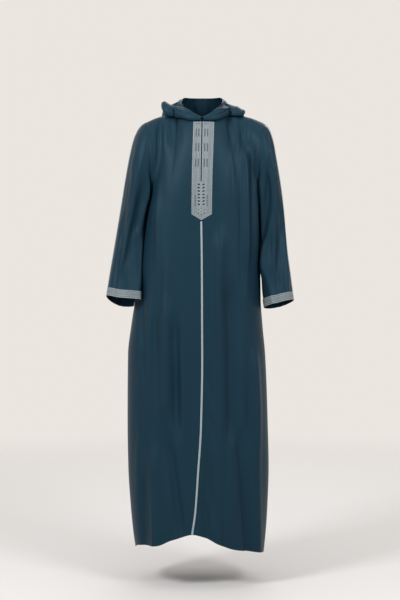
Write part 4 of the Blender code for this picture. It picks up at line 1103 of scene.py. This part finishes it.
def border(shade, edge, along, cords, tone, line):
    """Cords beside an edge, of (middle, width, pitch, height), and painted shade in the groove between them,
    a dark line of (middle, width, depth).
    """
    ropes = [rope(edge - middle, along, width, pitch) for middle, width, pitch, _ in cords]
    height = np.maximum(0.10, np.maximum(*(cord[-1] * made for cord, made in zip(cords, ropes))))
    middle, width, depth = line
    # The dark line lies in the groove between the cords: painted shade.
    return height, np.where(sum(ropes) > 0.1, tone, shade) + depth * bell(edge - middle, width)


def placket_pattern(across, down, edge):
    """Height in metres, shade and holes of the placket's embroidery, from the slit, the top and the edge."""
    side = np.abs(across)
    patches = np.sin(0.42 * down + 1.3 * np.sin(0.16 * across)) * np.sin(0.63 * across + 0.21 * down)
    shade = 0.14 + 0.07 * patches
    cords = [(1.6, 3.0, 3.2, 0.75), (6.3, 2.2, 2.6, 0.50)]
    # (4.1, 0.9, 0.62) darkens the groove between the two cords: painted shade.
    height, shade = border(shade, edge, down, cords, 0.05, (4.1, 0.9, 0.62))
    links = chain(edge, down, 11.2, 2.3, 6.4, 1.4)
    on_chain = (edge > 7.6) & (edge < 14.8)
    # Painted shade: darker between the chain's cords, where they dip.
    height, shade = within(on_chain, height, shade, 0.45 * links, 0.34 * (1 - links))
    open_slit = down < SLIT_DOWN + 2
    by_slit = rope(side - 3.8, down, 2.6, 3.0)
    height = np.maximum(height, 0.65 * by_slit * open_slit)
    shade = np.where(open_slit & (by_slit > 0.1), 0.05, shade)
    # Painted shade: a dark line in the groove beside the slit's cord.
    shade += 0.45 * bell(side - 6.0, 0.8) * open_slit
    ribs = 0.5 + 0.5 * np.cos(2 * np.pi * down / 1.7)
    plain = (edge > 14.8) & (side > 6.6)
    # Painted shade: darker in the troughs between the ribs.
    height, shade = within(plain, height, shade, 0.16 + 0.12 * ribs, 0.16 * (1 - ribs))
    for centre in DASH_GROUPS:
        for k in range(-2, 3):
            for column in DASH_COLUMNS:
                off = down - centre - k * DASH_PITCH
                height, shade = sink(height, shade, 0.95, side - column, off, 6.4, 3.6, DASH_ANGLE)
    for k in range(TOP_MARKS):
        height, shade = sink(height, shade, 0.80, side - 8.4 - 5.2 * k, down - 7.5, 5.0, 2.8, LEAF_ANGLE)
    holes = np.zeros(side.shape, bool)
    for k in range(SLOTS):
        middle = 1000 * (PLACKET_TOP_Z - SLOT_FIRST_Z + k * SLOT_PITCH + SLOT_HEIGHT / 2) - LEAF_RAISE
        leaf = inside_leaf(side - LEAF_MIDDLE, down - middle, LEAF_LENGTH, LEAF_WIDTH, LEAF_ANGLE)
        height = np.maximum(height * (leaf < 0), 0.50 * bell(leaf + 0.30, 0.30))
        shade = np.where(leaf > -0.8, 0.05, shade)
        holes |= leaf > 0.0
    for k in range(FOOT_MARKS):
        off = down - DASH_FOOT - 7.4 * k
        height, shade = sink(height, shade, 0.92, side - 19.0, off, 6.6, 3.6, DASH_ANGLE)
    off = down - ROSETTE_DOWN
    for turn in range(ROSETTE_LEAVES):
        angle = 2 * np.pi * (turn + 0.5) / ROSETTE_LEAVES
        leaf_x, leaf_y = across - ROSETTE_REACH * np.cos(angle), off - ROSETTE_REACH * np.sin(angle)
        height, shade = sink(height, shade, 0.88, leaf_x, leaf_y, 5.6, 3.4, angle)
    reach = np.hypot(across, off)
    ring = ridge(reach - 4.6, 2.4)
    height = np.maximum(height, 0.55 * ring)
    shade = np.where(ring > 0.1, 0.03, shade)
    shade = np.where(reach < 3.2, 0.45, shade)
    return height / 1000, np.clip(shade, 0, 1), holes


def placket_width(z, side):
    down = (z - PLACKET_TOP_Z) / (PLACKET_SQUARE_Z - PLACKET_TOP_Z)
    return PLACKET_TOP[side] + (PLACKET_FOOT[side] - PLACKET_TOP[side]) * down


def put_band(name, node, at, normal, height, shade, **options):
    """An embroidered band of this height, laid on the cloth."""
    outer = at + normal * (GAP + LAID_CLEAR + PLACKET_GROUND + height)[..., None]
    thickness = (PLACKET_GROUND + height)[..., None]
    piece = wall(name, outer, normal, thickness, EMBROIDERY, shade=shade, **options)
    return stand_for(piece, "embroidered_band", node)


def make_placket():
    rows = int((PLACKET_TOP_Z - PLACKET_TIP_Z) / PLACKET_STEP)
    columns = int(PLACKET_TOP[1] / PLACKET_STEP)
    down = np.linspace(1, 0, rows + 1)[:, None]
    share = np.linspace(-1, 1, 2 * columns + 1)[None, :]
    foot_z = PLACKET_SQUARE_Z + (PLACKET_TIP_Z - PLACKET_SQUARE_Z) * (1 - np.abs(share))
    z = PLACKET_TOP_Z + (foot_z - PLACKET_TOP_Z) * down
    half = np.where(share < 0, placket_width(z, -1), placket_width(z, 1))
    across = share * half
    to_foot = (z - foot_z) * np.cos(0.5)
    edge = 1000 * np.minimum(np.minimum(half - np.abs(across), to_foot), PLACKET_TOP_Z - z)
    height, shade, holes = placket_pattern(1000 * across, 1000 * (PLACKET_TOP_Z - z), edge)
    cut = holes | ((np.abs(across) < SLIT_HALF_WIDTH) & (z > SLIT_END_Z))
    cells = cut[1:, 1:] & cut[:-1, 1:] & cut[1:, :-1] & cut[:-1, :-1]
    at, normal = front_at(seam_x(z) + across, z)
    piece = put_band("embroidered_placket", "placket", at, normal, height, shade, holes=cells)
    rim = []
    for side in SIDES:
        line_z = np.linspace(PLACKET_TOP_Z - 0.001, PLACKET_SQUARE_Z, 160)
        place, up = front_at(seam_x(line_z) + side * (placket_width(line_z, side) + 0.0008), line_z)
        rim.append((place + up * 0.0003, up))
    sew("placket_stitches", rim, TRIM_SEWING, "embroidered_band", length=0.0022, pitch=0.0030)
    return piece


def cuff_pattern(turned, up):
    """Height in metres and shade of a cuff band, from the distance round it and up from its edge."""
    top = 1000 * CUFF_BAND
    edge = np.minimum(up, top - up)
    shade = 0.10 + 0.05 * np.sin(0.37 * turned) * np.sin(0.55 * up + 0.2 * turned)
    cords = [(1.5, 2.8, 3.2, 0.60), (6.9, 1.8, 2.6, 0.40)]
    # (4.3, 1.15, 0.80) darkens the groove between the two cords: painted shade.
    height, shade = border(shade, edge, turned, cords, 0.03, (4.3, 1.15, 0.80))
    links = chain(up, turned, top / 2, 3.6, CUFF_REPEAT, 1.6)
    # Painted shade: darker between the chain's cords, where they dip.
    height, shade = within(edge > 8.0, height, shade, 0.45 * links, 0.42 * (1 - links))
    return height / 1000, np.clip(shade, 0, 1)


def make_cuffs():
    bands = {}
    columns, rows = CUFF_GRID
    for side, word in SIDES.items():
        coarse = side * (np.arange(41) * 9.0 - 180)
        starts = np.array([sleeve_along(side, a, CUFF_BAND) for a in coarse])
        angles = side * (np.arange(columns) * 360 / columns - 180)
        start = np.interp(side * angles, side * coarse, starts)
        part = np.linspace(1, 0, rows + 1)[:, None]
        along = start + (CUFF_END - start) * part
        angle = angles + 0 * along
        at, normal = sleeve_run(side, angle, along)
        run = 1000 * run_of(np.concatenate([at[0], at[0, :1]]))
        turned = run[:-1] * round(run[-1] / CUFF_REPEAT) * CUFF_REPEAT / run[-1]
        height, shade = cuff_pattern(turned + 0 * part, 1000 * CUFF_BAND * (1 - part) + 0 * angle)
        name = "cuff_band_" + word
        bands[side] = put_band("embroidered_" + name, name, at, normal, height, shade, closed=True)
    return bands


# ---- braids
def plait(name, node, line, side, normal):
    """A flat braid of strands that cross over one another."""
    run = run_of(line)
    along = np.linspace(0, run[-1], int(run[-1] / BRAID_PITCH * BRAID_STEPS))
    row = np.interp(along, run, np.arange(len(run)))
    middle, across, up = (blend_rows(values, row) for values in (line, side, normal))
    parts = []
    for strand in range(3):
        turn = 2 * np.pi * (along / BRAID_PITCH + strand / 3)
        off = (BRAID_WIDTH / 2 - BRAID_STRAND) * np.sin(turn)
        rise = 0.45 * BRAID_STRAND * np.sin(2 * turn) + BRAID_STRAND * 0.95
        path = middle + across * off[:, None] + up * (rise + GAP + 0.0001)[:, None]
        parts.append(tube(path, up, BRAID_STRAND))
    return put_parts(name, parts, PLAIT, "braid", node)


def make_braids():
    foot = body_outer(0, 0, -1)[2]
    z = np.linspace(foot + LAID_CLEAR, PLACKET_TIP_Z - BRAID_START, 260)
    at, normal = front_at(seam_x(z), z)
    beside, _ = front_at(seam_x(z) + 0.001, z)
    made = {"centre": plait("centre_plait", "centre_braid", at, unit(beside - at), normal)}
    for side, word in SIDES.items():
        middle = BRAID_ANGLE[side]
        top = sleeve_along(side, middle, CUFF_BAND + BRAID_CUFF_GAP)
        along = np.linspace(SLEEVE_BRAID_START, top, 200)
        at, normal = sleeve_run(side, middle, along)
        beside = sleeve_outer(side, middle + 1.0, along)
        made[word] = plait("sleeve_plait_" + word, "sleeve_braid_" + word, at, unit(beside - at), normal)
    return made


# ---- sewing
def make_stitches():
    """Rows of stitches along the hem, the seams and the hood's edge and middle."""
    ends = np.linspace(0.01, 0.99, 300)
    hem = HEM_BAND / SKIRT_LENGTH
    runs = [panel_run(-ends, hem, -1), panel_run(ends, hem, -1), panel_run(2 * ends - 1, hem, 1)]
    sew("hem_stitches", runs, SEWING, "robe_cloth")
    runs = []
    up_side = np.linspace(0.03, 1.0, 300)
    up_arm = np.linspace(1.02, 1.98, 120)
    for side in SIDES:
        for face in (-1, 1):
            runs.append(panel_run(side * (1 - 0.009), up_side, face))
            runs.append(panel_run(side * (1 - 0.014), up_arm, face))
        runs.append(panel_run(side * np.linspace(NECK_SHARE + 0.08, 0.98, 80), 2 - 0.014, 1))
    sew("seam_stitches", runs, SEWING, "robe_cloth")
    part = np.linspace(TURN_END, RIM_HEM - 0.02, 160)
    runs = [hood_run(np.linspace(-0.97, 0.97, 400), RIM_HEM - 0.01)]
    runs += [hood_run(off, part) for off in (-0.010, 0.010)]
    sew("hood_stitches", runs, SEWING, "robe_cloth")


# ---- the studio
def make_floor():
    """A pale floor that fades out before its edge."""
    graph = Graph("floor")
    graph.feed(graph.shader, {"Base Color": FLOOR, "Roughness": 0.9, "Specular IOR Level": 0.1})
    place = graph.add("TexCoord", {})
    length = graph.add("VectorMath", {0: place.outputs["Object"]}, operation="LENGTH")
    near, far = FLOOR_FADE
    span = {"From Min": near, "From Max": far, "Value": length.outputs["Value"]}
    fade = graph.add("MapRange", span, interpolation_type="SMOOTHSTEP")
    clear = graph.add("BsdfTransparent", {})
    mix = graph.add("MixShader", {0: fade.outputs["Result"], 1: graph.shader.outputs[0], 2: clear.outputs[0]})
    graph.feed(graph.tree.nodes["Material Output"], {"Surface": mix.outputs[0]})
    mesh = bpy.data.meshes.new("floor")
    corners = [(x * FLOOR_HALF, y * FLOOR_HALF, 0) for x, y in ((-1, -1), (1, -1), (1, 1), (-1, 1))]
    mesh.from_pydata(corners, [], [(0, 1, 2, 3)])
    mesh.materials.append(graph.made)
    floor = put_object("floor", mesh)
    floor.location = (0, 0, FLOOR_Z)


def put_facing(name, data, at, aim):
    thing = put_object(name, data)
    thing.location = at
    thing.rotation_euler = (Vector(aim) - Vector(at)).to_track_quat("-Z", "Y").to_euler()
    return thing


def make_studio():
    scene = bpy.context.scene
    make_floor()
    scene.world = bpy.data.worlds.new("studio")
    scene.world.use_nodes = True
    backdrop = scene.world.node_tree.nodes["Background"]
    backdrop.inputs["Color"].default_value = BACKDROP
    backdrop.inputs["Strength"].default_value = AMBIENT
    for lamp in LAMPS:
        light = bpy.data.lights.new(lamp.name, "AREA")
        light.shape = "RECTANGLE"
        light.size, light.size_y = lamp.wide, lamp.high
        light.energy = lamp.power
        put_facing(lamp.name, light, lamp.at, lamp.aim)
    camera = bpy.data.cameras.new("camera")
    camera.sensor_fit = "VERTICAL"
    camera.sensor_height = FRAME_HIGH
    camera.lens = FOCAL
    scene.camera = put_facing("camera", camera, CAMERA_AT, CAMERA_TO)
    scene.view_settings.view_transform = "Standard"
    scene.view_settings.look = "None"


# ---- the whole
make_studio()
make_fronts()
make_back()
make_sleeves()
make_hood()
placket = make_placket()
cuffs = make_cuffs()
braids = make_braids()
make_stitches()
